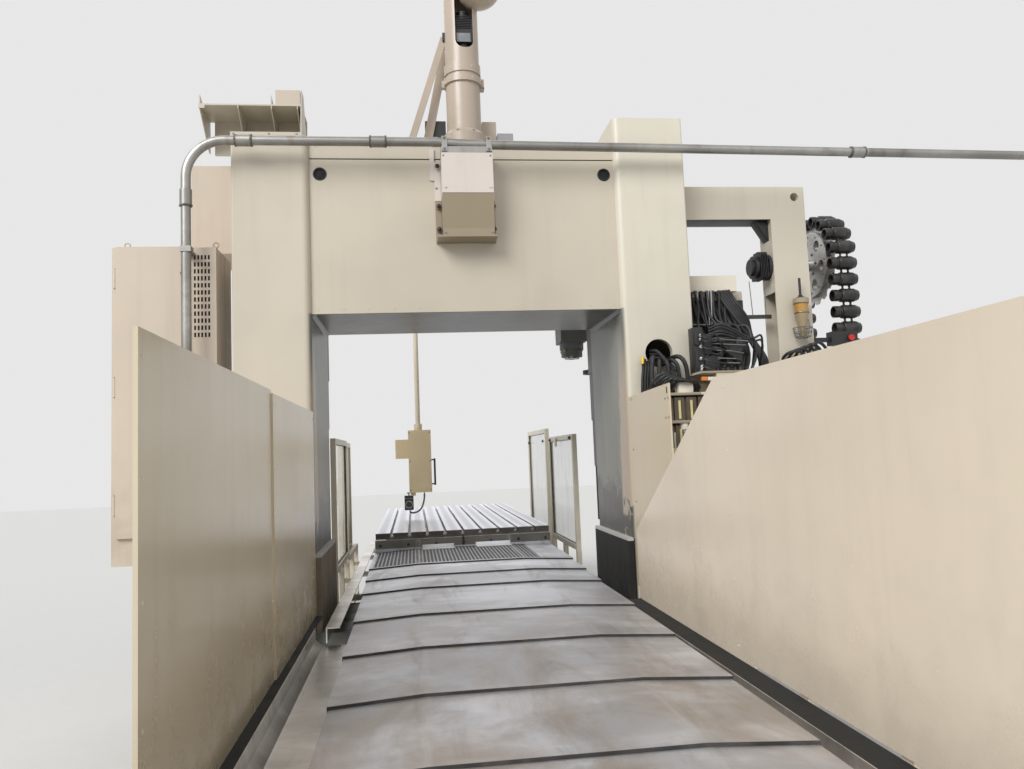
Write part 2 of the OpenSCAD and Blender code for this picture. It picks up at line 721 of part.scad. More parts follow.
// Hoses under the manifold and the cables out of the column
module hoses() {
    color(black) {
        for (i = [0:8])
            tube_path(concat([[1600 + 36 * i, atc_y + 40 + 12 * (i % 3), 2608.8]],
                bend([1600 + 36 * i, atc_y + 40 + 12 * (i % 3), 2590], [1590 + 40 * i, atc_y + 20, 2400],
                    [1640 + 62 * i, atc_y - 30 + 30 * (i % 2), 2250], [1620 + 28 * i, -140 - 14 * (i % 3), 2010]),
                [[1620 + 28 * i, -140 - 14 * (i % 3), 1985.2]]), 11);
        for (c = hole_cables)
            tube_path(concat([[c[0], 100, c[1]]], bend([c[0], 10, c[1]], [c[0], -150, c[1] + 10],
                [c[0] + c[3], -130 - c[3] / 3, c[1] + 60], [c[0] + c[3], -120, 1880]),
                [[c[0] + c[3], -120, valve_bays[3][0] + 0.2]]), c[2], 12);
    }
}
// Cables that rest on the rim of the column's hole: x, z, radius, side shift
hole_cables = [[1267, 2062.3, 14, 20], [1236, 2068.5, 14, -15], [1298, 2068.5, 14, 60],
    [1330, 2094, 15, 85], [1204, 2094, 15, -35]];

// Lubricator bowl on the post's rear face
module oil_bowl() {
    color([0.6, 0.42, 0.12]) translate([2398, atc_y - 62, 0]) {
        translate([0, 0, 2500]) cylinder(r = 56, h = 34);
        translate([0, 0, 2430]) cylinder(r = 48, h = 71);
        translate([0, 0, 2330]) cylinder(r1 = 30, r2 = 50, h = 101);
        translate([0, 0, 2260]) cylinder(r = 22, h = 71);
        translate([0, 0, 2533]) cylinder(r = 6, h = 34);
        translate([-20, 40, 2505]) cube([40, 22, 24]);
    }
}

// Tool store column with its two sprockets
module magazine() {
    color(steel) {
        block([2560, 880, 0], [2780, 1080, store_z + 90]);
        block([2480, 800, 0], [2860, 1160, 24]);
        block([2400, atc_y + atc_d, 2880], [2500, 900, 3020]);
        block([2400, 880, 2880], [2561, 980, 3020]);
        for (z = [store_z, low_z])
            translate([0, store_y, z]) rotate([0, 90, 0]) {
                translate([0, 0, 2779]) cylinder(r = 60, h = 80);
                translate([0, 0, 2850]) cylinder(r = 48, h = 180);
                translate([0, 0, store_x - 57]) sprocket();
            }
    }
}
// Sprocket: toothed ring with a pocket for each pot, and a disc with round openings
module sprocket() {
    linear_extrude(11) difference() {
        circle(chain_r - 14, $fn = 96);
        for (i = [0:arc_count - 1])
            rotate(i * 360 / arc_count + 90) translate([chain_r, 0]) circle(40.4);
    }
    translate([0, 0, -28]) linear_extrude(30) difference() {
        circle(270, $fn = 96);
        for (i = [0:5])
            rotate(i * 60 - 77) translate([180, 0]) circle(45);
    }
}
// Chain of tool pots round the two sprockets
module tool_pots() {
    color(black) {
        for (i = [0:run_count - 1])
            pot([store_y - chain_r, store_z - (i + 0.5) * pot_pitch], 0, pot_pitch / 2);
        for (i = [1:run_count - 1])
            pot([store_y + chain_r, store_z - i * pot_pitch], 0, pot_pitch / 2);
        for (i = [0:(arc_count - 1) / 2]) {
            a = 360 * i / arc_count;
            pot([store_y + chain_r * cos(a), store_z + chain_r * sin(a)], a, arc_reach);
            pot([store_y + chain_r * cos(a), low_z - chain_r * sin(a)], -a, arc_reach);
        }
    }
}
// Room for a link's tip where the chain bends round a sprocket
arc_reach = chain_r * tan(180 / arc_count) - 0.15;
module pot(c, a, reach) {
    translate([0, c[0], c[1]]) rotate([a, 0, 0]) rotate([0, 90, 0]) translate([0, 0, store_x - 103]) {
        difference() {
            rotate_extrude() polygon([[0, 0], [42, 0], [46, 6], [46, 40], [40, 46], [40, 57], [50, 63],
                [pot_r - 2, 70], [pot_r - 2, 170], [48, 184], [40, 206], [0, 206]]);
            translate([0, 0, -1]) cylinder(r1 = 35, r2 = 22, h = 102);
        }
        for (z = [84, 140], s = [-1, 1]) {
            translate([s * (reach - 9.3), 0, z]) cylinder(r = 9.15, h = 12);
            translate([s * (reach - 20) - 11, -7, z + 1]) cube([22, 14, 10]);
        }
    }
}

// Small control box beside the post
module button_box() {
    color(black) {
        difference() {
            block([2650, 250, 2200], [2850, 330, 2300]);
            translate([2790, 249, 2250]) rotate([-90, 0, 0]) cylinder(r = 12.05, h = 11);
        }
        block([atc_x1, 280, 2230], [2651, 320, 2260]);
    }
}
module stop_button() {
    color([0.7, 0.1, 0.1]) translate([2790, 253, 2250]) rotate([90, 0, 0]) {
        cylinder(r = 12, h = 17);
        translate([0, 0, 15]) cylinder(r = 22, h = 16);
    }
}

// Window frames beside the table
module frame_yz(x0, x1, y0, y1, z0, z1, w) {
    difference() {
        block([x0, y0, z0], [x1, y1, z1]);
        block([x0 - 1, y0 + w, z0 + w], [x1 + 1, y1 - w, z1 - w]);
    }
}
door_y = [2310, 3350];
module front_frames() {
    color(cream) {
        frame_yz(-1040, -1000, 1180, 2300, 640, 1680, 45);
        frame_yz(1000, 1040, 1800, 3080, 640, 1660, 45);
        frame_yz(1000, 1040, 3260, 4600, 640, 1760, 45);
        for (y = [1200, 1740, 2280, 2840, 3400])
            guard_post(-1020, y, 640);
        for (y = [1820, 2440, 3060, 3280, 3930, 4580])
            guard_post(1020, y, 640);
        for (y = [1740, 2840])
            block([-1040, y - 20, 490], [-923, y + 20, 520]);
        for (y = [2440, 3930])
            block([905, y - 20, 490], [1040, y + 20, 520]);
        // Rails that carry the sliding door
        block([-1040, 2300, 600], [-1000, 3440, 640]);
        block([-1096, 1180, 600], [-1039, 3440, 618]);
        for (s = [-1, 1])
            block([s * 1020 - 20, s < 0 ? 1180 : 1800, 120], [s * 1020 + 20, s < 0 ? 3440 : 4600, 160]);
    }
}
module front_panes() {
    color([0.75, 0.8, 0.78, 0.5]) {
        pane(-1023, 1180, 2300, 640, 1680);
        pane(1017, 1800, 3080, 640, 1660);
        pane(1017, 3260, 4600, 640, 1760);
    }
}
module pane(x, y0, y1, z0, z1) {
    block([x, y0 + 45, z0 + 45], [x + 6, y1 - 45, z1 - 45]);
}
module sliding_door() {
    color(cream) {
        frame_yz(-1088, -1050, door_y[0], door_y[1], 618 + slip, 1680, 45);
        pane(-1072, door_y[0], door_y[1], 618 + slip, 1680);
        block([-1120, door_y[0] + 12, 1100], [-1087, door_y[0] + 34, 1300]);
    }
}

// Floor post that carries the pendant boom
module pendant_post() {
    color(cream) translate([post_x, post_y, 0]) {
        cylinder(r = 180, h = 20);
        cylinder(r = 60, h = boom_z - 60);
        translate([0, 0, boom_z - 61]) cylinder(r = 75, h = 20);
        cylinder(r = 30, h = boom_z + 70);
    }
    // Cable duct on the floor from the post to the bed
    color(cream) block([post_x + 60, post_y + 130, 0], [-bed_half, post_y + 190, 100]);
    color(cream) block([post_x - 10, post_y + 40, 20], [post_x + 70, post_y + 190, 100]);
}
boom_a = atan2(pole_y - post_y, pole_x - post_x);
boom_l = norm([pole_x - post_x, pole_y - post_y]);
module pendant_arm() {
    color(cream) translate([post_x, post_y, 0]) rotate([0, 0, boom_a]) {
        difference() {
            union() {
                translate([0, 0, boom_z - 41 + slip]) cylinder(r = 70, h = 92);
                block([30, -35, boom_z - 30], [boom_l + 35, 35, boom_z + 40]);
            }
            translate([0, 0, boom_z - 60]) cylinder(r = 30.06, h = 140);
        }
        translate([boom_l, 0, 1840]) cylinder(r = 24, h = boom_z - 1860);
        translate([boom_l, 0, pend[1][2] + 30]) cylinder(r = 40, h = 36);
    }
}
// Pendant case under the pole, with a side case and a handle bar
pend = [[-447, 2880, 1160], [-222, 3120, 1779]];
module pendant_box() {
    color(cream) {
        difference() {
            block(pend[0], pend[1]);
            block([pend[0][0] + 25, pend[1][1] - 12, pend[0][2] + 260], [pend[1][0] - 25, pend[1][1] + 1, pend[1][2] - 60]);
            translate([-280, pend[1][1] - 10, 1250]) rotate([-90, 0, 0]) cylinder(r = 12.05, h = 11);
        }
        block([pend[0][0] - 128, 2920, 1500], [pend[0][0] + 1, 3080, 1690]);
        translate([pole_x, pole_y, pend[1][2] - 1]) cylinder(r = 40, h = 31 - slip);
        block([pend[0][0] + 10, 2900, pend[0][2] - 30], [pend[0][0] + 60, 2950, pend[0][2] + 1]);
    }
}
module pendant_stop() {
    color([0.7, 0.1, 0.1]) translate([-280, pend[1][1] - 3, 1250]) rotate([-90, 0, 0]) {
        cylinder(r = 12, h = 17);
        translate([0, 0, 15]) cylinder(r = 20, h = 16);
    }
}
// Portable handwheel case hung under the pendant, with its dial and curly cord
module hand_unit() {
    color(black) {
        block([-500, 2985, 985], [-410, 3035, 1129]);
        translate([-455, 3010, 1128]) cylinder(r = 6, h = 32);
        block([-475, 2995, 1150], [pend[0][0] + 1, 3020, 1160]);
    }
}
module hand_dial() {
    color(iron) translate([-455, 2985 - slip, 1040]) rotate([90, 0, 0]) {
        cylinder(r = 30, h = 12);
        translate([18, 0, 11]) cylinder(r = 6, h = 18);
    }
}
cord_path = [[-300, 3010, 1160], [-300, 3010, 1120], [-305, 3008, 1080], [-315, 3005, 1040],
    [-330, 3002, 1005], [-350, 3000, 980], [-375, 3000, 965], [-400, 3000, 958],
    [-425, 3002, 955], [-442, 3008, 962], [-450, 3010, 974], [-450, 3010, 984.9]];
module hand_cord() {
    color(black) tube_path(cord_path, 11);
}

// Rear telescopic cover k: 0 is bolted to the table, 7 to the bed
module roof_outline(k, t, foot) {
    w = cover_half - step_x * k;
    z = cover_z - step_z * k;
    polygon([[-w, foot], [-w, z], [-flat_half, z + roof_rise], [flat_half, z + roof_rise], [w, z], [w, foot],
        [w - cover_t, foot], [w - cover_t, z - t], [flat_half, z + roof_rise - t],
        [-flat_half, z + roof_rise - t], [-w + cover_t, z - t], [-w + cover_t, foot]]);
}
module inner_plate(k) {
    w = cover_half - step_x * k - 1;
    z = cover_z - step_z * k - 1;
    difference() {
        polygon([[-w, skirt_z], [-w, z], [-flat_half, z + roof_rise], [flat_half, z + roof_rise], [w, z], [w, skirt_z]]);
        translate([-120, skirt_z - 1]) square([240, 80]);
    }
}
module cover_shell(k, y0, l) {
    along_y(y0, y0 + l) roof_outline(k, cover_t, skirt_z);
    along_y(y0, y0 + 12) roof_outline(k, step_z - 1, skirt_z);
}
module rear_cover(k) {
    y0 = rear_edge[k];
    l = k == 0 ? table_y - 20 - y0 : cover_l;
    color(steel) {
        cover_shell(k, y0, l);
        along_y(y0 + l - 6, y0 + l) inner_plate(k);
    }
}
module rear_cover_0() {
    rear_cover(0);
    color(steel) {
        block([-cover_half, table_y - 40, cover_z - 1], [cover_half, table_y - slip, table_z - plate_t - 3]);
        for (x = [-690:230:690])
            translate([x, table_y - 39, 790]) rotate([90, 0, 0]) cylinder(r = 12, h = 9);
        along_y(rear_edge[0] + 30, table_y - 39) for (i = [0:39])
            translate([-706 + i * 27, rib_foot(-700 + i * 27)]) square([12, 6]);
    }
}
// Height of the roof under a rib, a little sunk
function rib_foot(x) = cover_z - 2 + min(roof_rise, roof_rise * (cover_half - abs(x)) / (cover_half - flat_half));
module rear_cover_1() { rear_cover(1); }
module rear_cover_2() { rear_cover(2); }
module rear_cover_3() { rear_cover(3); }
module rear_cover_4() { rear_cover(4); }
module rear_cover_5() { rear_cover(5); }
module rear_cover_6() { rear_cover(6); }
module rear_cover_7() {
    rear_cover(7);
    color(steel) for (s = [-1, 1])
        block([s > 0 ? 560 : 10 + step_x * 7 - cover_half, bed_rear, bed_top + 0.3],
            [s > 0 ? cover_half - step_x * 7 - 10 : -560, bed_rear + 55, skirt_z + 10]);
    color(steel) along_y(bed_rear, bed_rear + 6) inner_plate(7);
}

// Front telescopic cover k: 0 rides on the table, 2 is bolted to the bed
module front_cover(k) {
    y0 = front_edge[k];
    color(steel) {
        along_y(y0 + (k == 0 ? slip : 0), y0 + front_l) roof_outline(k, cover_t, skirt_z);
        along_y(y0 + front_l - 12, y0 + front_l) roof_outline(k, step_z - 1, skirt_z);
        along_y(y0 + (k == 0 ? slip : 0), y0 + 6) inner_plate(k);
    }
}
module front_cover_0() { front_cover(0); }
module front_cover_1() { front_cover(1); }
module front_cover_2() {
    front_cover(2);
    color(steel) for (s = [-1, 1])
        block([s > 0 ? 560 : 20 - cover_half, front_end - 50, bed_top + 0.3],
            [s > 0 ? cover_half - 20 : -560, front_end, skirt_z + 10]);
}

// Table: T-slotted plate on a thick body with guide shoes and the screw nut
module table() {
    half = table_w / 2;
    color(steel) difference() {
        union() {
            along_y(table_y, table_end) difference() {
                union() {
                    translate([-half, table_z - plate_t]) square([table_w, plate_t]);
                    translate([-half + 85, body_z]) square([table_w - 170, table_z - plate_t - body_z + 1]);
                }
                for (i = [0:slot_count - 1])
                    translate([(i - (slot_count - 1) / 2) * slot_pitch, table_z]) t_slot();
            }
            for (s = [-1, 1])
                block([s * way_x - 100, table_y + 20, way_z + slip], [s * way_x + 100, table_end - 20, body_z + 1]);
            block([-110, table_y + 1500, way_z - 80], [110, table_y + 1800, body_z + 1]);
        }
        translate([0, table_y, screw_z]) rotate([-90, 0, 0]) cylinder(r = screw_r + 0.05, h = table_l);
    }
}
module t_slot() {
    translate([-slot_w / 2, -21]) square([slot_w, 22]);
    translate([-slot_head / 2, -37]) square([slot_head, 17]);
}
module table_screw() {
    color(steel) translate([0, -219, screw_z]) rotate([-90, 0, 0]) cylinder(r = screw_r, h = 4439);
}

// Cross rail: box beam with shoes on the columns' ways, front ways and aprons
module cross_rail() {
    z1 = rail_z + rail_h;
    color(cream) {
        difference() {
            union() {
                block([-rail_end, rail_back, rail_z], [rail_end, rail_front, z1]);
                for (z = [rail_z + 20, z1 - 140])
                    block([-rail_end, rail_front - 1, z], [rail_end, rail_front + rail_way, z + 120]);
                both_sides() for (x = [xi + 55, xo - 155])
                    block([x, rail_y, rail_z + 30], [x + 100, rail_back + 1, z1 - 30]);
            }
            block([-rail_end - 1, rail_back + cast_wall, rail_z + cast_wall],
                [rail_end + 1, rail_front - cast_wall, z1 - cast_wall]);
            for (x = [-800, -400, 0, 400, 800])
                translate([x, rail_back - 1, rail_z + rail_h / 2]) rotate([-90, 0, 0]) cylinder(r = 110, h = cast_wall + 2);
        }
        for (x = [-900, -450, 0, 450, 900])
            block([x - 15, rail_back + 10, rail_z + 10], [x + 15, rail_front - 10, z1 - 10]);
        both_sides() {
            column_cover(0);
            for (x = [xi + 60, rail_end - 100])
                block([x, cc_y - 1, rail_z - 60], [x + 40, rail_back + 6, rail_z + 40]);
        }
    }
}
module column_covers(k) { color(iron) both_sides() column_cover(k); }
module column_cover_1() { column_covers(1); }
module column_cover_2() { column_covers(2); }
module column_cover_3() { column_covers(3); }

// Saddle on the cross rail's front ways, with the head housing above
head = [[-190, 0], [226, 4187]];
module saddle() {
    x0 = spindle_x - 240;
    x1 = spindle_x + 240;
    y1 = spindle_y + 180;
    z0 = rail_z - 100;
    z1 = rail_z + rail_h + 60;
    hx0 = spindle_x + head[0][0];
    hx1 = spindle_x + head[1][0];
    top = head[1][1];
    color(cream) {
        difference() {
            union() {
                block([x0, saddle_y, z0], [x1, y1, z1]);
                block([hx0, saddle_y + 20, z1 - 1], [hx1, y1 - 20, top]);
            }
            ram_slot(z0 - 1, z1 + 1, slip);
            block([hx0 + 10, saddle_y + 30, z1], [hx1 - 10, y1 - 30, top - 12]);
        }
        // Hooked shoe over the upper way
        block([x0, rail_front + 1.5, z1 - 50], [x1, saddle_y + 1, z1]);
        for (x = [hx0 - 20, hx1])
            block([x, saddle_y + 60, top - 50], [x + 20, saddle_y + 76, top + 16]);
    }
}
module ram_slot(z0, z1, g) {
    block([spindle_x - ram_w / 2 - g, spindle_y - ram_d / 2 - g, z0],
        [spindle_x + ram_w / 2 + g, spindle_y + ram_d / 2 + g, z1]);
}
// Ram with the spindle housing and its nose ring
module ram() {
    color(iron) difference() {
        union() {
            ram_slot(ram_z, ram_z + 1300, 0);
            translate([spindle_x, spindle_y, ram_z - 122]) cylinder(r = 92, h = 123);
            translate([spindle_x, spindle_y, ram_z - 60]) cylinder(r = 104, h = 61);
            translate([spindle_x, spindle_y, ram_z + 1299]) cylinder(r = 105, h = 330);
        }
        translate([spindle_x, spindle_y, ram_z - 123]) cylinder(r = 64.05, h = 260);
    }
}
module spindle() {
    color(steel) translate([spindle_x, spindle_y, ram_z - 140]) difference() {
        cylinder(r = 64, h = 270);
        translate([0, 0, -1]) cylinder(r1 = 35.2, r2 = 20, h = 104);
        translate([0, 0, 102]) cylinder(r = 20, h = 60);
        for (s = [-1, 1])
            block([s * 50 - 13, -13, -1], [s * 50 + 13, 13, 12]);
    }
}

// Tool change arm on its plunging shaft beside the right column
module arm_shaft() {
    color(steel) {
        translate([arm_x, arm_y, arm_z + 40 + slip]) cylinder(r = 45, h = 400);
        translate([arm_x, arm_y, arm_z - 24]) cylinder(r = 30, h = 66);
    }
}
module change_arm() {
    color(iron) translate([arm_x, arm_y, arm_z]) difference() {
        union() {
            cylinder(r = 85, h = 40);
            block([-40, -arm_r, 0], [40, arm_r, 40]);
            for (s = [-1, 1])
                translate([0, s * arm_r, 0]) cylinder(r = 70, h = 40);
        }
        translate([0, 0, -1]) cylinder(r = 30.06, h = 42);
        for (s = [-1, 1])
            translate([s * 0, s * arm_r, -1]) {
                cylinder(r = 50, h = 42);
                block([s > 0 ? 0 : -80, -50, 0], [s > 0 ? 80 : 0, 50, 42]);
            }
    }
}

bed();
bed_feet();
left_column();
right_column();
bridge_beam();
bridge_cover();
cable_box();
mast();
motors();
conduit();
left_guard();
right_guard();
valve_cabinet();
valve_blocks();
cabinet();
junction_boxes();
cable_tray();
chip_troughs();
foot_covers();
atc_frame();
manifold();
hoses();
oil_bowl();
magazine();
tool_pots();
button_box();
front_frames();
front_panes();
pendant_post();
rear_cover_7();
front_cover_2();
cabinet_door();
stop_button();
arm_shaft();
change_arm();
sliding_door();
table();
rear_cover_0();
rear_cover_1();
rear_cover_2();
rear_cover_3();
rear_cover_4();
rear_cover_5();
rear_cover_6();
front_cover_0();
front_cover_1();
table_screw();
cross_rail();
column_cover_1();
column_cover_2();
column_cover_3();
saddle();
ram();
spindle();
pendant_arm();
pendant_box();
pendant_stop();
hand_unit();
hand_dial();
hand_cord();
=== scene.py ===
"""Looks of a double-column machining center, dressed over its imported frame.

Lengths are millimetres in the code and become metres in Blender. The frame is the CAD frame:
+X to the tool store, +Y away from the camera along the table's travel, +Z up.
"""

import logging
import math
from dataclasses import dataclass, field
from enum import Enum
from typing import Any, Callable, Iterable, Optional, Sequence, Union

import bmesh
import bpy
from mathutils import Matrix, Vector


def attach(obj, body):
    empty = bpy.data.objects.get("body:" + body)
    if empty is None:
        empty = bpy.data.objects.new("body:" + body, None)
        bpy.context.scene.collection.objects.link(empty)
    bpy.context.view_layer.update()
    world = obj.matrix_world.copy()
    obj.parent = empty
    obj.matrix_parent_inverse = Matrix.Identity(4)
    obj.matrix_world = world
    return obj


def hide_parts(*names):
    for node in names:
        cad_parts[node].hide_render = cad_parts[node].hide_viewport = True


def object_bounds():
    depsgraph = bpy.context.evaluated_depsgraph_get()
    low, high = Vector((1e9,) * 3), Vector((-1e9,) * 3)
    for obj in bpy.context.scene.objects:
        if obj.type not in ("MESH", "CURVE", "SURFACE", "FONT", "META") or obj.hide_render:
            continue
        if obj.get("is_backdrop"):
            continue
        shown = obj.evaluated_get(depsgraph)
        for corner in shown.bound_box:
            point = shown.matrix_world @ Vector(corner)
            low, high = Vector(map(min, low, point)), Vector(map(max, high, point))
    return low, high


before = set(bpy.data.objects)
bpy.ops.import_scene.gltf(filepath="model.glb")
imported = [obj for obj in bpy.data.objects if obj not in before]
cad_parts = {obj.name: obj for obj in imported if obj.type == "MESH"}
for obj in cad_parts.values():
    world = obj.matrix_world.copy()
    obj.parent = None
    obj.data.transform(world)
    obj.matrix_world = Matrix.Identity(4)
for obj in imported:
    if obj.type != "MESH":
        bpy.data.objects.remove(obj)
cad_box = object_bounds()

logging.basicConfig(level=logging.INFO, format="%(message)s")
log = logging.getLogger("machining_center")

MM = 0.001
Colour = tuple[float, float, float]
Point = Sequence[float]
Place = tuple[float, float, float]
Block = tuple[Place, Place, float]
Pair = tuple[float, float]
Profile = Sequence[Pair]
BASE = "machine_base"
SIDES = (-1, 1)
LEFT, RIGHT = (-1, 0, 0), (1, 0, 0)
REAR, FRONT = (0, -1, 0), (0, 1, 0)
DOWN, UP = (0, 0, -1), (0, 0, 1)


# Node graphs
class Sock:
    """One output of a node; arithmetic on it adds Math nodes to its graph."""

    def __init__(self, graph: "Graph", socket: bpy.types.NodeSocket) -> None:
        """Wrap a socket of a graph."""
        self.graph = graph
        self.socket = socket

    def math(self, operation: str, *others: "Value") -> "Sock":
        """One Math node with this socket as its first value."""
        return self.graph.math(operation, self, *others)

    def __add__(self, other: "Value") -> "Sock":
        """Sum."""
        return self.math("ADD", other)

    __radd__ = __add__

    def __sub__(self, other: "Value") -> "Sock":
        """Difference."""
        return self.math("SUBTRACT", other)

    def __rsub__(self, other: "Value") -> "Sock":
        """Difference with the socket on the right."""
        return self.graph.math("SUBTRACT", other, self)

    def __mul__(self, other: "Value") -> "Sock":
        """Product."""
        return self.math("MULTIPLY", other)

    __rmul__ = __mul__

    def __abs__(self) -> "Sock":
        """Size without its sign."""
        return self.math("ABSOLUTE")

    def least(self, other: "Value") -> "Sock":
        """The smaller of two values."""
        return self.math("MINIMUM", other)

    def most(self, other: "Value") -> "Sock":
        """The larger of two values."""
        return self.math("MAXIMUM", other)

    def wrapped(self, period: float) -> "Sock":
        """Remainder within a period, from 0."""
        return self.math("WRAP", period, 0.0)

    def step(self, low: float, high: float) -> "Sock":
        """Smooth rise from 0 at low to 1 at high, or a fall where high is the smaller.

        Args:
            low: value that gives 0.
            high: value that gives 1.

        Returns:
            A socket from 0 to 1.
        """
        flip = high < low
        first, last = (high, low) if flip else (low, high)
        rise = self.graph.node("ShaderNodeMapRange", {"interpolation_type": "SMOOTHSTEP"},
                               {0: self, 1: first, 2: last, 3: 0.0, 4: 1.0})
        return 1.0 - rise if flip else rise

    def within(self, low: float, high: float, soft: float = 0.004) -> "Sock":
        """1 between two values, with soft edges."""
        return self.step(low - soft, low + soft) * self.step(high + soft, high - soft)


Value = Union[Sock, float, int, tuple, Vector]


class Graph:
    """Builds a shader or geometry tree by expressions."""

    def __init__(self, tree: bpy.types.NodeTree) -> None:
        """Work on an empty tree."""
        self.tree = tree

    def node(self, kind: str, settings: Optional[dict[str, Any]] = None,
             inputs: Optional[dict[Union[int, str], Value]] = None, out: Union[int, str] = 0) -> Sock:
        """Add any node.

        Args:
            kind: the node's type.
            settings: its properties, set before its sockets.
            inputs: values or links by socket name or index.
            out: the output that is wanted.

        Returns:
            That output.
        """
        made = self.tree.nodes.new(kind)
        for key, value in (settings or {}).items():
            setattr(made, key, value)
        for key, value in (inputs or {}).items():
            if isinstance(value, Sock):
                self.tree.links.new(value.socket, made.inputs[key])
            else:
                made.inputs[key].default_value = value
        return Sock(self, made.outputs[out])

    def math(self, operation: str, *values: Value) -> Sock:
        """One Math node over plain values."""
        return self.node("ShaderNodeMath", {"operation": operation}, dict(enumerate(values)))

    def vector(self, operation: str, *values: Value) -> Sock:
        """One Vector Math node."""
        return self.node("ShaderNodeVectorMath", {"operation": operation}, dict(enumerate(values)))

    def mix(self, factor: Value, first: Value, second: Value) -> Sock:
        """Blend two colours.

        Args:
            factor: 0 for the first, 1 for the second.
            first: a colour or a socket.
            second: the other one.

        Returns:
            The blend.
        """
        pair = {6 + i: (*c, 1.0) if isinstance(c, tuple) and len(c) == 3 else c
                for i, c in enumerate((first, second))}
        return self.node("ShaderNodeMix", {"data_type": "RGBA"}, {0: factor, **pair}, out=2)

    def split(self, vector: Sock) -> tuple[Sock, Sock, Sock]:
        """The three parts of a vector."""
        made = self.node("ShaderNodeSeparateXYZ", inputs={0: vector}).socket.node
        return tuple(Sock(self, made.outputs[i]) for i in range(3))

    def noise(self, vector: Sock, scale: Union[float, Place], detail: float = 3.0,
              rough: float = 0.55, bend: float = 0.0) -> Sock:
        """Noise from 0 to 1.

        Args:
            vector: coordinates.
            scale: one size, or one for each axis where the pattern is stretched.
            detail: octaves.
            rough: share of the fine octaves.
            bend: distortion.

        Returns:
            The noise's factor.
        """
        if isinstance(scale, tuple):
            vector, scale = self.vector("MULTIPLY", vector, scale), 1.0
        return self.node("ShaderNodeTexNoise", None, {"Vector": vector, "Scale": scale, "Detail": detail,
                                                       "Roughness": rough, "Distortion": bend})

    def bump(self, height: Sock, distance: float, strength: float = 1.0) -> Sock:
        """A normal from a height in metres."""
        return self.node("ShaderNodeBump", None,
                         {"Strength": strength, "Distance": distance, "Height": height})

    @property
    def place(self) -> Sock:
        """Object coordinates, which are the frame's own metres."""
        return self.node("ShaderNodeTexCoord", out="Object")


# Finishes
@dataclass(frozen=True)
class Finish:
    """A procedural material; a subclass says how its surface looks."""

    name: str
    base: Colour
    rough: float = 0.4
    metal: float = 0.0

    def material(self) -> bpy.types.Material:
        """Build the material, once.

        Returns:
            The material, or the one that was built before.
        """
        found = bpy.data.materials.get(self.name)
        if found:
            return found
        made = bpy.data.materials.new(self.name)
        made.use_nodes = True
        made.node_tree.nodes.clear()
        made.diffuse_color = (*self.base, 1.0)
        graph = Graph(made.node_tree)
        shader = graph.node("ShaderNodeBsdfPrincipled", None, self.surface(graph))
        end = made.node_tree.nodes.new("ShaderNodeOutputMaterial")
        made.node_tree.links.new(shader.socket, end.inputs["Surface"])
        return made

    def surface(self, g: Graph) -> dict[str, Value]:
        """Inputs of the Principled node.

        Args:
            g: the material's graph.

        Returns:
            Values and sockets by input name.
        """
        raise NotImplementedError


@dataclass(frozen=True)
class Enamel(Finish):
    """Machine paint with soft tone, runs of dirt, scuffs, small chips and orange peel."""

    dirt: Colour = (0.20, 0.155, 0.10)
    under: Colour = (0.13, 0.13, 0.13)
    grime: float = 0.30
    foot: float = 0.5
    chips: float = 0.5
    peel: float = 0.00025
    coat: float = 0.0
    scuffs: float = 0.35

    def tint(self, g: Graph, place: Sock, colour: Sock) -> Sock:
        """Changes that one painted piece has and others lack."""
        return colour

    def surface(self, g: Graph) -> dict[str, Value]:
        """Enamel over metal.

        Args:
            g: the material's graph.

        Returns:
            Values and sockets by input name.
        """
        place = g.place
        z = g.split(place)[2]
        broad = g.noise(place, 0.7, 3)
        mottle = g.noise(place, 6.0, 5, 0.6)
        runs = g.noise(place, (9.0, 9.0, 0.55), 4, 0.6)
        scuff = g.noise(place, (3.0, 34.0, 60.0), 4, 0.62)
        speck = g.noise(place, 46.0, 2)
        light = tuple(min(1.0, c * 1.045) for c in self.base)
        dark = tuple(c * 0.915 for c in self.base)
        colour = g.mix(broad.step(0.32, 0.68), dark, light)
        colour = g.mix(mottle.step(0.45, 0.75) * 0.22, colour, dark)
        colour = self.tint(g, place, colour)
        low = z.step(self.foot + 0.9, self.foot - 0.2)
        film = (runs.step(0.50, 0.78) * 0.34 + low * mottle.step(0.35, 0.65) * 0.8) * self.grime
        colour = g.mix(film.least(1.0), colour, self.dirt)
        scratch = scuff.step(0.69, 0.73) * mottle.step(0.5, 0.62) * self.scuffs
        colour = g.mix(scratch, colour, light)
        chip = speck.step(0.79 - 0.03 * self.chips, 0.81) * mottle.step(0.56, 0.66)
        colour = g.mix(chip * self.chips, colour, self.under)
        grain = g.noise(place, 260.0, 2)
        height = grain * 0.5 + mottle * 2.0 - chip * 1.2
        rough = (mottle - 0.5) * 0.10 + film * 0.5 + self.rough
        return {"Base Color": colour, "Roughness": rough.least(0.95), "Metallic": self.metal,
                "Coat Weight": self.coat, "Normal": g.bump(height, self.peel, 0.5)}


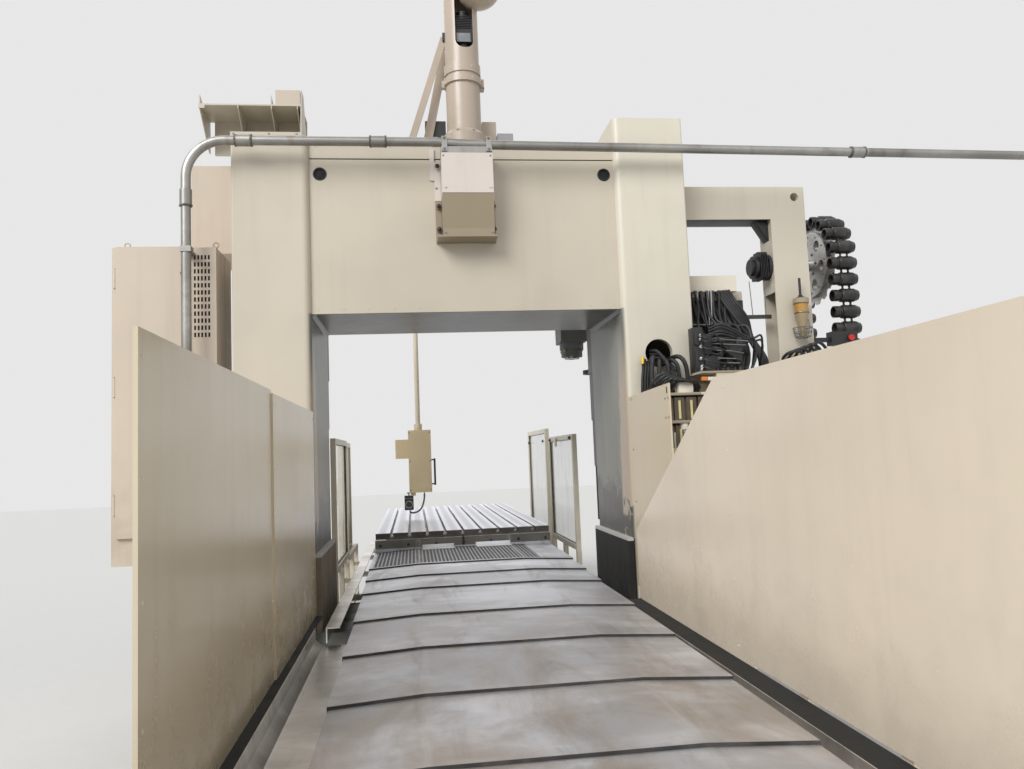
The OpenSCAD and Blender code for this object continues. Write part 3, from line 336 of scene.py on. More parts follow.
@dataclass(frozen=True)
class ColumnEnamel(Enamel):
    """Paint of a column: its inner side is grey-blue, peeled to the old coat near the foot."""

    side: int = 1
    inner_face: float = 1.030
    bridge_low: float = 2.453
    inner: Colour = (0.172, 0.172, 0.15)
    patch: Colour = (0.46, 0.38, 0.29)
    worn: Colour = (0.07, 0.068, 0.062)

    def tint(self, g: Graph, place: Sock, colour: Sock) -> Sock:
        """Grey inner side with the peeled patch and the dark rub marks.

        Args:
            g: the material's graph.
            place: object coordinates.
            colour: the paint so far.

        Returns:
            The changed paint.
        """
        x, y, z = g.split(place)
        depth = x * float(self.side)
        inside = (depth.step(self.inner_face + 0.022, self.inner_face)
                  * z.step(self.bridge_low + 0.011, self.bridge_low))
        blot = g.noise(place, 7.5, 6, 0.66, 0.6)
        worn = (z + (blot - 0.5) * 0.62).step(1.32, 1.20)
        edge = 0.30 - z * 0.06
        bare = ((y + (blot - 0.5) * 0.10 - edge).step(0.03, -0.03)
                * (z + (blot - 0.5) * 0.9).step(1.05, 1.09) * z.step(2.35, 1.9))
        grey = g.mix(g.noise(place, (2.0, 2.0, 0.35), 3).step(0.3, 0.7), self.inner,
                     tuple(c * 1.25 for c in self.inner))
        grey = g.mix(worn * 0.85, grey, self.worn)
        grey = g.mix(bare, grey, self.patch)
        return g.mix(inside, colour, grey)


@dataclass(frozen=True)
class BridgeEnamel(Enamel):
    """Paint of the bridge sheets, with painted shade on the underside."""

    low: float = 2.455
    # Painted shade: the near-black colour of the faces below the underside's height, not a paint of their
    # own.
    below: Colour = (0.05, 0.046, 0.037)

    def tint(self, g: Graph, place: Sock, colour: Sock) -> Sock:
        """Paint shade on the faces that look down."""
        return g.mix(g.split(place)[2].step(self.low + 0.003, self.low), colour, self.below)


@dataclass(frozen=True)
class GuardEnamel(Enamel):
    """Paint of the right guard; the small sheet at the column is duller."""

    seam_x: float = 1.030
    seam_y: float = -0.880
    small: Colour = (0.63, 0.53, 0.37)

    def tint(self, g: Graph, place: Sock, colour: Sock) -> Sock:
        """Dull the small sheet.

        Args:
            g: the material's graph.
            place: object coordinates.
            colour: the paint so far.

        Returns:
            The changed paint.
        """
        x, y, _ = g.split(place)
        small = (x.step(self.seam_x - 0.002, self.seam_x + 0.002)
                 * y.step(self.seam_y - 0.005, self.seam_y + 0.005))
        return g.mix(small, colour, self.small)


@dataclass(frozen=True)
class ManifoldEnamel(Enamel):
    """Paint of the manifold box; the arm under it is black."""

    low: float = 2.560
    arm: Colour = (0.035, 0.032, 0.03)

    def tint(self, g: Graph, place: Sock, colour: Sock) -> Sock:
        """Blacken what hangs under the box."""
        return g.mix(g.split(place)[2].step(self.low, self.low - 0.010), colour, self.arm)


@dataclass(frozen=True)
class BoxEnamel(Enamel):
    """Paint of the cable box, with painted shade on its sloped lower half."""

    seam: float = 3.200
    seam_high: float = 3.204
    # Painted shade of the slope under the seam; the shelf rails, wholly below the seam, take it too.
    lower: Colour = (0.301, 0.25, 0.17)
    line: Colour = (0.10, 0.09, 0.07)

    def tint(self, g: Graph, place: Sock, colour: Sock) -> Sock:
        """Paint shade on the slope under the seam.

        Args:
            g: the material's graph.
            place: object coordinates.
            colour: the paint so far.

        Returns:
            The changed paint.
        """
        z = g.split(place)[2]
        # Painted shade: everything under the seam takes the darker colour.
        colour = g.mix(z.step(self.seam_high, self.seam), colour, self.lower)
        return g.mix(z.within(self.seam, self.seam_high, 0.001), colour, self.line)


@dataclass(frozen=True)
class CabinetEnamel(Enamel):
    """Paint of the cabinets, with the seam of the side sheet and two dark boxes on the bridge."""

    seam_x: Pair = (-1.613, -1.600)
    seam_y: Pair = (0.234, 0.240)
    seam: Colour = (0.12, 0.10, 0.08)
    bridge_top: float = 3.60
    black_x: Pair = (-0.26, -0.09)
    black: Colour = (0.03, 0.03, 0.032)
    grey_x: Pair = (0.2565, 0.38)
    grey: Colour = (0.30, 0.30, 0.31)

    def tint(self, g: Graph, place: Sock, colour: Sock) -> Sock:
        """Seam on the cabinet's side, black and grey boxes behind the mast.

        Args:
            g: the material's graph.
            place: object coordinates.
            colour: the paint so far.

        Returns:
            The changed paint.
        """
        x, y, z = g.split(place)
        seam = x.within(*self.seam_x, 0.001) * y.within(*self.seam_y, 0.001)
        colour = g.mix(seam, colour, self.seam)
        top = z.step(self.bridge_top, self.bridge_top + 0.01)
        colour = g.mix(top * x.within(*self.black_x, 0.002), colour, self.black)
        return g.mix(top * x.within(*self.grey_x, 0.001), colour, self.grey)


@dataclass(frozen=True)
class FootEnamel(Enamel):
    """Paint of the foot covers: dark on the right, brown-beige on the left, light lip on top."""

    back: float = 0.982
    lip_z: Pair = (0.903, 0.93)
    brown: Colour = (0.20, 0.165, 0.12)
    lip: Colour = (0.50, 0.49, 0.46)

    def tint(self, g: Graph, place: Sock, colour: Sock) -> Sock:
        """Brown left cover, and light lips along the front edges.

        Args:
            g: the material's graph.
            place: object coordinates.
            colour: the paint so far.

        Returns:
            The changed paint.
        """
        x, y, z = g.split(place)
        colour = g.mix(x.step(0.2, -0.2) * y.step(-0.005, 0.0), colour, self.brown)
        depth = y.step(self.back + 0.004, self.back) * y.step(-0.005, 0.0)
        return g.mix(z.within(*self.lip_z, 0.002) * depth, colour, self.lip)


@dataclass(frozen=True)
class Sheet(Finish):
    """Oiled, scratched steel sheet of a sliding cover or trough."""

    stain: Colour = (0.17, 0.14, 0.115)
    stains: float = 0.35
    grain_axis: int = 1

    def pattern(self, g: Graph, cloud: Sock, colour: Sock, rough: Sock) -> tuple[Sock, Sock]:
        """What one sheet has and others lack: its colour and roughness."""
        return colour, rough

    def surface(self, g: Graph) -> dict[str, Value]:
        """Brushed steel with oil film.

        Args:
            g: the material's graph.

        Returns:
            Values and sockets by input name.
        """
        place = g.place
        along = [420.0, 420.0, 420.0]
        along[self.grain_axis] = 2.2
        brushed = g.noise(place, tuple(along), 3, 0.6)
        hair = g.noise(place, (150.0, 3.0, 60.0), 2, 0.5, 0.4)
        cross = g.noise(place, (5.0, 120.0, 60.0), 2, 0.5, 0.6)
        cloud = g.noise(place, (1.4, 2.6, 2.0), 5, 0.62, 0.3)
        smear = g.noise(place, (6.0, 1.3, 4.0), 4, 0.6, 0.8)
        dark = tuple(c * 0.80 for c in self.base)
        light = tuple(min(1.0, c * 1.12) for c in self.base)
        colour = g.mix(cloud.step(0.36, 0.66), dark, light)
        oil = (smear.step(0.52, 0.72) * self.stains + cloud.step(0.62, 0.44) * self.stains * 0.35)
        colour = g.mix(oil.least(1.0), colour, self.stain)
        lines = hair.step(0.70, 0.74) * 0.30 + cross.step(0.73, 0.76) * 0.25
        colour = g.mix(lines.least(1.0), colour, light)
        rough = (self.rough + (cloud - 0.5) * 0.16 + (brushed - 0.5) * 0.10
                 + oil * 0.10 - lines * 0.08)
        colour, rough = self.pattern(g, cloud, colour, rough)
        height = brushed * 0.5 + cloud * 3.0 + lines * -0.4
        return {"Base Color": colour, "Roughness": rough.most(0.12).least(0.9), "Metallic": self.metal,
                "Normal": g.bump(height, 0.0002, 0.35)}


@dataclass(frozen=True)
class CoverSheet(Sheet):
    """Sheet of the way covers: scratched crease, brown stains near the rear, rubbed edges."""

    edges: tuple[float, ...] = (0.620, 0.140, -0.320, -1.090, -1.760, -2.410, -3.040, -3.700)
    fold: float = 0.380
    brown: Colour = (0.33, 0.265, 0.21)
    scratched: Colour = (0.56, 0.54, 0.52)
    rubbed: Colour = (0.55, 0.54, 0.53)

    def surface(self, g: Graph) -> dict[str, Value]:
        """Sheet with wear along its crease and edges.

        Args:
            g: the material's graph.

        Returns:
            Values and sockets by input name.
        """
        values = super().surface(g)
        place = g.place
        x, y, _ = g.split(place)
        colour = values["Base Color"]
        cloud = g.noise(place, (2.2, 1.5, 2.0), 5, 0.66, 0.7)
        near = y.step(-0.6, -2.6)
        colour = g.mix((near * 0.6 + 0.10) * cloud.step(0.34, 0.66), colour, self.brown)
        streak = g.noise(place, (40.0, 1.2, 10.0), 4, 0.62)
        crease = abs(abs(x) - self.fold).step(0.030, 0.004) * streak.step(0.40, 0.62)
        colour = g.mix(crease * 0.35, colour, self.scratched)
        rub = g.noise(place, (9.0, 30.0, 10.0), 4, 0.62)
        for edge in self.edges:
            worn = (y - edge).within(0.0, 0.035, 0.012) * rub.step(0.42, 0.62)
            colour = g.mix(worn * 0.25, colour, self.rubbed)
        values["Base Color"] = colour
        return values


@dataclass(frozen=True)
class GrilleSheet(CoverSheet):
    """First rear cover: slotted grille before the table, and the table's rear bracket."""

    grille_x: Pair = (-0.706, 0.50)
    grille_y: Pair = (0.652, 1.570)
    grille_top: float = 0.762
    pitch: float = 0.027
    slot: float = 0.010
    bracket_y: Pair = (1.5890, 1.5985)
    face_y: Pair = (1.5985, 1.6012)
    ledge_y: Pair = (1.6012, 1.6390)
    joint_x: Pair = (-0.012, 0.006)
    bar: Colour = (0.15, 0.155, 0.17)
    gap: Colour = (0.04, 0.04, 0.045)
    face: Colour = (0.085, 0.08, 0.06)
    heads: Colour = (0.03, 0.028, 0.025)
    ledge_highlight: Colour = (0.95, 0.95, 0.96)
    joint: Colour = (0.02, 0.02, 0.02)

    def pattern(self, g: Graph, cloud: Sock, colour: Sock, rough: Sock) -> tuple[Sock, Sock]:
        """Slots of the grille, then the bracket's face, screw heads, a painted highlight on the bracket's
        top, and the joint.

        Args:
            g: the material's graph.
            cloud: the sheet's broad pattern.
            colour: its colour so far.
            rough: its roughness so far.

        Returns:
            The changed colour and roughness.
        """
        x, y, z = g.split(g.place)
        left, right = self.grille_x
        long = y.within(*self.grille_y, 0.002) * z.step(self.grille_top, self.grille_top - 0.002)
        colour = g.mix(x.within(left - 0.003, right, 0.002) * long * 0.7, colour, self.bar)
        gap = ((x - left).wrapped(self.pitch).step(self.slot - 0.0005, self.slot + 0.0005)
               * x.within(left, right, 0.002) * long)
        colour = g.mix(gap * 0.95, colour, self.gap)
        above = z.step(0.763, 0.764)
        face = y.within(*self.face_y, 0.0004) * above
        colour = g.mix(face * (0.70 + cloud * 0.3), colour, self.face)
        colour = g.mix(y.within(*self.bracket_y, 0.0004) * z.step(0.776, 0.777), colour, self.heads)
        # The bracket's top gets a near-white painted highlight, not a colour of its own.
        colour = g.mix(y.within(*self.ledge_y, 0.0004) * z.step(0.790, 0.800), colour, self.ledge_highlight)
        joint = x.within(*self.joint_x, 0.001) * y.step(1.597, 1.598) * above
        return g.mix(joint, colour, self.joint), rough + gap * 0.2


@dataclass(frozen=True)
class Milled(Finish):
    """Ground table face with cutter marks and stained sides, plus painted light and shade: a sheen down each
    lane, lit slots, a shaded rear end face and shaded slot ends.
    """

    top: float = 0.887
    pitch: float = 0.150
    first_lane: float = -0.675
    ends: Pair = (1.642, 5.078)
    half: float = 0.722
    slot_low: float = 0.848
    side_stain: Colour = (0.16, 0.125, 0.09)
    # The next three colours are painted shade on the rear end face, painted light inside the slots and
    # painted shade at the slots' rear ends.
    end_face: Colour = (0.055, 0.05, 0.04)
    slot_painted_light: Colour = (0.62, 0.62, 0.64)
    slot_dark: Colour = (0.05, 0.047, 0.04)

    def surface(self, g: Graph) -> dict[str, Value]:
        """Milled iron.

        Args:
            g: the material's graph.

        Returns:
            Values and sockets by input name.
        """
        place = g.place
        x, y, z = g.split(place)
        cloud = g.noise(place, (1.6, 1.1, 3.0), 5, 0.6, 0.2)
        ripple = g.noise(place, (60.0, 2.0, 60.0), 3)
        marks = g.noise(place, (3.0, 210.0, 60.0), 2)
        lane = (x - self.first_lane).wrapped(self.pitch)
        # Painted sheen: each lane between the slots is lighter in its middle and darker next to the slots.
        lane_sheen = lane.step(0.012, 0.05) * lane.step(0.138, 0.10)
        side = z.step(self.top - 0.0005, self.top - 0.003)
        slot = (side * y.within(*self.ends, 0.001) * abs(x).step(self.half, self.half - 0.002)
                * z.step(self.slot_low, self.slot_low + 0.002))
        dark = tuple(c * 0.74 for c in self.base)
        light = tuple(min(1.0, c * 1.2) for c in self.base)
        colour = g.mix(cloud.step(0.35, 0.68) * 0.6, self.base, dark)
        colour = g.mix(lane_sheen * (1.0 - side), dark, g.mix(0.55, colour, light))
        stain = g.noise(place, (5.0, 5.0, 12.0), 4, 0.65)
        colour = g.mix(side * (1.0 - slot) * (0.35 + stain.step(0.35, 0.65) * 0.5), colour, self.side_stain)
        # Painted shade: the table's rear end face is darkened.
        end = y.step(self.ends[0], self.ends[0] - 0.0015) * z.step(self.top - 0.003, self.top - 0.005)
        colour = g.mix(end * 0.85, colour, self.end_face)
        # Painted light inside the slots, then painted shade in them towards the table's rear end.
        colour = g.mix(slot, colour, self.slot_painted_light)
        colour = g.mix(slot * y.step(1.78, 1.70), colour, self.slot_dark)
        rough = self.rough + (cloud - 0.5) * 0.2 + side * 0.14 + (1.0 - lane_sheen) * 0.06
        return {"Base Color": colour, "Roughness": rough.least(0.9),
                "Metallic": (1.0 - slot) * self.metal,
                "Normal": g.bump(ripple * 0.6 + marks * 0.5 + cloud, 0.0003, 0.3)}


@dataclass(frozen=True)
class Moulded(Finish):
    """Plastic, rubber or dark enamel with grain, dust and rubbed spots."""

    dust: Colour = (0.22, 0.20, 0.17)
    dusty: float = 0.25
    grain: float = 300.0
    relief: float = 0.0002
    alpha: float = 1.0
    lift: float = 1.5

    def surface(self, g: Graph) -> dict[str, Value]:
        """Moulded surface.

        Args:
            g: the material's graph.

        Returns:
            Values and sockets by input name.
        """
        place = g.place
        cloud = g.noise(place, 9.0, 5, 0.6)
        grain = g.noise(place, self.grain, 2)
        rub = g.noise(place, (30.0, 30.0, 7.0), 3)
        light = tuple(min(1.0, c * self.lift + 0.01) for c in self.base)
        colour = g.mix(cloud.step(0.35, 0.70) * 0.6, self.base, light)
        film = cloud.step(0.45, 0.75) * self.dusty
        colour = g.mix(film, colour, self.dust)
        rough = self.rough + film * 0.3 + (rub - 0.5) * 0.12
        values = {"Base Color": colour, "Roughness": rough.least(0.95), "Metallic": self.metal,
                  "Normal": g.bump(grain + cloud * 2.0, self.relief, 0.5)}
        if self.alpha < 1.0:
            streak = g.noise(place, (14.0, 14.0, 2.0), 3)
            values["Alpha"] = streak.step(0.45, 0.8) * 0.12 + self.alpha
        return values


@dataclass(frozen=True)
class Bowl(Moulded):
    """Lubricator: grey cap, amber glass with oil, pale lower glass and a grey drain."""

    glass_z: float = 2.430
    cap_z: float = 2.499
    drain_z: float = 2.331
    glass: Colour = (0.27, 0.245, 0.19)
    oil: Colour = (0.38, 0.20, 0.04)
    cap: Colour = (0.30, 0.28, 0.24)
    drain: Colour = (0.16, 0.15, 0.13)

    def surface(self, g: Graph) -> dict[str, Value]:
        """Bands by height.

        Args:
            g: the material's graph.

        Returns:
            Values and sockets by input name.
        """
        values = super().surface(g)
        z = g.split(g.place)[2]
        colour = g.mix(z.step(self.glass_z - 0.002, self.glass_z + 0.002), self.glass, self.oil)
        colour = g.mix(z.step(self.cap_z, self.cap_z + 0.003), colour, self.cap)
        colour = g.mix(z.step(self.drain_z, self.drain_z - 0.002), colour, self.drain)
        values["Base Color"] = g.mix(0.3, colour, values["Base Color"])
        return values


class Look(Enum):
    """Every finish of the machine."""

    CREAM = Enamel("cream_enamel", (0.606, 0.554, 0.455), 0.36)
    LEFT = ColumnEnamel("left_column_enamel", (0.573, 0.515, 0.419), 0.36, side=-1)
    RIGHT = ColumnEnamel("right_column_enamel", (0.66, 0.618, 0.515), 0.36, side=1)
    PANEL = BridgeEnamel("panel_enamel", (0.556, 0.499, 0.403), 0.32, grime=0.18, foot=-2.0, chips=0.2)
    BOX = BoxEnamel("box_enamel", (0.641, 0.577, 0.524), 0.34, grime=0.22, foot=-2.0, chips=0.3)
    BRIDGE = Enamel("bridge_enamel", (0.62, 0.57, 0.47), 0.36)
    MAST = Enamel("mast_enamel", (0.487, 0.405, 0.326), 0.30, grime=0.4, foot=3.4, chips=0.5)
    GUARD = GuardEnamel("guard_enamel", (0.8, 0.701, 0.568), 0.24, grime=0.16, foot=0.45, chips=0.3,
                        peel=0.0004, scuffs=0.05)
    # The left guard's paint is a darker, yellower copy of the guard paint: painted shade, since that guard
    # gets less light.
    GUARD_LEFT = Enamel("left_guard_enamel", (0.66, 0.575, 0.42), 0.22, grime=0.28, foot=0.45, chips=0.35,
                        peel=0.0004, scuffs=0.05)
    SHELF = Enamel("shelf_enamel", (0.62, 0.545, 0.43), 0.34, grime=0.28, foot=0.45, chips=0.5, scuffs=0.15)
    WINDOW = Enamel("window_enamel", (0.74, 0.68, 0.55), 0.36, grime=0.3, foot=0.6, chips=0.6)
    MANIFOLD = ManifoldEnamel("manifold_enamel", (0.76, 0.7, 0.58), 0.36, grime=0.3, foot=-2.0, chips=0.6)
    CABINET = CabinetEnamel("cabinet_enamel", (0.598, 0.509, 0.41), 0.42, grime=0.35, foot=0.9, chips=0.9)
    FRAME = Enamel("frame_enamel", (0.63, 0.545, 0.43), 0.40, grime=0.40, foot=0.6, chips=0.8)
    PENDANT = Enamel("pendant_enamel", (0.62, 0.505, 0.32), 0.42, grime=0.35, foot=0.9, chips=0.6)
    HEAD = Enamel("head_enamel", (0.62, 0.59, 0.51), 0.38, grime=0.35, foot=2.2, chips=0.6)
    FOOT = FootEnamel("foot_enamel", (0.007, 0.007, 0.007), 0.75, dirt=(0.03, 0.026, 0.02),
                      grime=0.4, foot=0.45, chips=0.5, under=(0.30, 0.28, 0.26))
    BED = Enamel("bed_enamel", (0.16, 0.17, 0.165), 0.5, dirt=(0.07, 0.055, 0.04), grime=0.6,
                 chips=0.7, peel=0.0007)
    DARK = Enamel("dark_enamel", (0.016, 0.016, 0.017), 0.46, dirt=(0.06, 0.048, 0.035), grime=0.4,
                  foot=-2.0, chips=0.5, under=(0.22, 0.21, 0.20))
    COVER = CoverSheet("cover_sheet", (0.6, 0.61, 0.65), 0.42, 0.75)
    GRILLE = GrilleSheet("grille_sheet", (0.56, 0.57, 0.61), 0.42, 0.75)
    COLUMN_SHEET = Sheet("column_sheet", (0.10, 0.10, 0.105), 0.42, 0.6, grain_axis=2, stains=0.5)
    TROUGH = Sheet("trough_sheet", (0.8, 0.77, 0.73), 0.30, 0.9, stain=(0.22, 0.18, 0.14), stains=0.30)
    STRIP = Sheet("bright_strip", (0.80, 0.81, 0.83), 0.32, 0.35, stains=0.02)
    TABLE = Milled("milled_table", (0.72, 0.725, 0.78), 0.34, 0.85)
    SCREW = Sheet("ground_steel", (0.46, 0.46, 0.46), 0.26, 0.95, stains=0.2)
    BOLT = Sheet("bolt_steel", (0.24, 0.235, 0.225), 0.38, 0.9, stains=0.3)
    ZINC = Sheet("zinc_tube", (0.355, 0.345, 0.327), 0.40, 0.85, grain_axis=0, stains=0.45,
                 stain=(0.15, 0.13, 0.10))
    SPROCKET = Sheet("sprocket_steel", (0.55, 0.545, 0.53), 0.40, 0.85, stains=0.4)
    PLASTIC = Moulded("black_moulding", (0.018, 0.018, 0.019), 0.42)
    POT = Moulded("pot_moulding", (0.014, 0.013, 0.013), 0.34, dusty=0.14)
    RUBBER = Moulded("black_jacket", (0.009, 0.009, 0.01), 0.50, dusty=0.07)
    WIPER = Moulded("wiper_rubber", (0.022, 0.021, 0.021), 0.60, dusty=0.16, relief=0.0005)
    DARKNESS = Moulded("dark_lining", (0.010, 0.010, 0.011), 0.85, dusty=0.08)
    RELAY = Moulded("relay_case", (0.085, 0.06, 0.038), 0.36, dusty=0.15)
    IVORY = Moulded("ivory_part", (0.62, 0.58, 0.50), 0.45, dust=(0.3, 0.26, 0.2))
    GREY = Moulded("grey_part", (0.20, 0.21, 0.22), 0.5)
    TUBE = Moulded("relay_tube", (0.52, 0.46, 0.22), 0.3, dusty=0.2)
    BRONZE = Sheet("relay_ridge", (0.13, 0.10, 0.06), 0.4, 0.7, stains=0.6)
    ORANGE = Moulded("orange_part", (0.60, 0.17, 0.03), 0.45)
    ZINC_DARK = Sheet("zinc_fitting", (0.15, 0.145, 0.13), 0.42, 0.8, stains=0.5)
    BRASS = Sheet("brass_part", (0.50, 0.36, 0.14), 0.34, 0.9, stains=0.25)
    RED = Moulded("red_button", (0.48, 0.018, 0.014), 0.30, dusty=0.06)
    YELLOW = Moulded("yellow_ring", (0.62, 0.42, 0.03), 0.4, dusty=0.15)
    SCREEN = Moulded("screen_glass", (0.012, 0.016, 0.020), 0.12, dusty=0.05)
    BOWL = Bowl("lubricator_glass", (0.45, 0.28, 0.08), 0.16, dusty=0.15)
    PANE = Moulded("window_pane", (0.52, 0.55, 0.50), 0.10, dusty=0.25, alpha=0.24, relief=0.0004)

    @property
    def material(self) -> bpy.types.Material:
        """The built material."""
        return self.value.material()


# Mesh building
def vec(point: Point) -> Vector:
    """Millimetres to a Blender vector in metres."""
    return Vector(point) * MM


def turn_to(axis: Point) -> Matrix:
    """Rotation that turns +Z to an axis."""
    return Vector(axis).normalized().to_track_quat("Z", "Y").to_matrix().to_4x4()


def turns(count: int, phase: float = 0.0, closed: bool = False) -> list[float]:
    """Angles of equal steps round a circle from a phase in degrees; closed ends where it began."""
    return [math.radians(phase) + 2 * math.pi * i / count for i in range(count + closed)]


def around(centre: Point, radius: float, angles: Iterable[float], axis: int = 2) -> list[Place]:
    """Points on a circle.

    Args:
        centre: its centre.
        radius: its radius.
        angles: where the points are, in radians.
        axis: 0, 1 or 2, the axis that it goes round.

    Returns:
        The points.
    """
    first, second = (i for i in range(3) if i != axis)
    points = []
    for angle in angles:
        point = list(centre)
        point[first] += radius * math.cos(angle)
        point[second] += radius * math.sin(angle)
        points.append(tuple(point))
    return points


class Form:
    """Collects faces in world millimetres, then becomes one piece on one body."""

    def __init__(self) -> None:
        """Start empty."""
        self.bm = bmesh.new()

    def _bevel(self, verts: Iterable[bmesh.types.BMVert], size: float, limit: float = 0.6) -> None:
        """Round the sharp edges between some vertices.

        Args:
            verts: the vertices.
            size: width of the rounding.
            limit: the least angle of a sharp edge, in radians.
        """
        edges = {e for v in verts for e in v.link_edges
                 if len(e.link_faces) == 2 and e.calc_face_angle(0.0) > limit}
        bmesh.ops.bevel(self.bm, geom=list(edges), offset=size * MM, segments=2, profile=0.7,
                        affect="EDGES", clamp_overlap=True)

    def box(self, low: Point, high: Point, round_off: float = 1.5) -> "Form":
        """A box with rounded edges.

        Args:
            low: its lowest corner.
            high: its highest corner.
            round_off: size of the rounding.

        Returns:
            This form.
        """
        verts = bmesh.ops.create_cube(self.bm, size=1.0)["verts"]
        a, b = vec(low), vec(high)
        for v in verts:
            v.co = Vector(a[i] + (v.co[i] + 0.5) * (b[i] - a[i]) for i in range(3))
        if round_off:
            self._bevel(verts, round_off)
        return self

    def lathe(self, foot: Point, axis: Point, profile: Profile, sides: int = 32) -> "Form":
        """A shape turned round an axis.

        Args:
            foot: where the axis starts.
            axis: its direction.
            profile: (radius, height) pairs from one end to the other; radius 0 closes an end.
            sides: steps round the axis.

        Returns:
            This form.
        """
        place = Matrix.Translation(vec(foot)) @ turn_to(axis)
        rings: list[list[bmesh.types.BMVert]] = []
        for radius, height in profile:
            angles = turns(sides) if radius > 0.0 else (0.0,)
            rings.append([self.bm.verts.new(place @ vec(p)) for p in around((0, 0, height), radius, angles)])
        faces = []
        for below, above in zip(rings, rings[1:]):
            for i in range(sides):
                j = (i + 1) % sides
                corner = [below[i % len(below)], below[j % len(below)], above[j % len(above)],
                          above[i % len(above)]]
                corner = [c for n, c in enumerate(corner) if c not in corner[:n]]
                if len(corner) > 2:
                    faces.append(self.bm.faces.new(corner))
        bmesh.ops.recalc_face_normals(self.bm, faces=faces)
        return self

    def rod(self, start: Point, end: Point, radius: float, sides: int = 24, soft: float = 1.0) -> "Form":
        """A round bar with softened rims.

        Args:
            start: one end's centre.
            end: the other end's centre.
            radius: its radius.
            sides: steps round it.
            soft: width of the softened rims.

        Returns:
            This form.
        """
        length = (Vector(end) - Vector(start)).length
        soft = min(soft, radius * 0.4, length * 0.3)
        return self.lathe(start, Vector(end) - Vector(start),
                          [(0, 0), (radius - soft, 0), (radius, soft), (radius, length - soft),
                           (radius - soft, length), (0, length)], sides)

    def ring(self, centre: Point, axis: Point, radius: float, thick: float, sides: int = 40) -> "Form":
        """A round ring whose section is a circle with radius thick."""
        section = [(radius + thick * math.cos(t), thick * math.sin(t)) for t in turns(10, closed=True)]
        return self.lathe(centre, axis, section, sides)

    def prism(self, outline: Profile, axis: int, start: float, end: float, round_off: float = 0.0) -> "Form":
        """An outline carried along an axis.

        Args:
            outline: points in the other two axes, in their X, Y, Z order.
            axis: 0, 1 or 2.
            start: where it begins on the axis.
            end: where it ends.
            round_off: size of the rounding.

        Returns:
            This form.
        """
        first, last = ([self.bm.verts.new(vec((*p[:axis], height, *p[axis:]))) for p in outline]
                       for height in (start, end))
        count = len(outline)
        faces = [self.bm.faces.new(first), self.bm.faces.new(list(reversed(last)))]
        faces += [self.bm.faces.new([first[i], last[i], last[(i + 1) % count], first[(i + 1) % count]])
                  for i in range(count)]
        bmesh.ops.recalc_face_normals(self.bm, faces=faces)
        if round_off:
            self._bevel(first + last, round_off)
        return self

    def band(self, outer: Profile, inner: Profile, start: float, end: float) -> "Form":
        """A strip between two lines.

        Args:
            outer: one line's (x, z) points.
            inner: the other line's points, as many.
            start: its nearer Y.
            end: its farther Y.

        Returns:
            This form.
        """
        rows = [[self.bm.verts.new(vec((p[0], y, p[1]))) for p in line]
                for line, y in ((outer, start), (inner, start), (inner, end), (outer, end))]
        faces = []
        for a, b in zip(rows, rows[1:] + rows[:1]):
            faces += [self.bm.faces.new([a[i], a[i + 1], b[i + 1], b[i]]) for i in range(len(outer) - 1)]
        faces += [self.bm.faces.new([row[i] for row in rows]) for i in (0, -1)]
        bmesh.ops.recalc_face_normals(self.bm, faces=faces)
        return self

    def piece(self, name: str, look: Look, body: str = BASE, slot: Optional[str] = None) -> bpy.types.Object:
        """Turn the form into a piece.

        Args:
            name: the piece's name.
            look: its finish.
            body: the CAD body that it rides on.
            slot: the record's material slot, or None for the finish's own.

        Returns:
            The object.
        """
        mesh = bpy.data.meshes.new(name)
        self.bm.to_mesh(mesh)
        self.bm.free()
        return settle(name, mesh, look, body, slot or slot_of(look))


def settle(name: str, mesh: bpy.types.Mesh, look: Optional[Look], body: str, slot: str) -> bpy.types.Object:
    """Make an object of a mesh, dress it and let it ride its body.

    Args:
        name: the piece's name.
        mesh: its mesh in metres.
        look: its finish, or None where the mesh has one.
        body: the CAD body that it rides on.
        slot: not used.

    Returns:
        The object.
    """
    if look is not None:
        mesh.materials.clear()
        mesh.materials.append(look.material)
    mesh.polygons.foreach_set("use_smooth", [True] * len(mesh.polygons))
    mesh.set_sharp_from_angle(angle=math.radians(32))
    obj = bpy.data.objects.new(name, mesh)
    bpy.context.scene.collection.objects.link(obj)
    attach(obj, body)
    log.info("piece %s on %s: %d faces", name, body, len(mesh.polygons))
    return obj


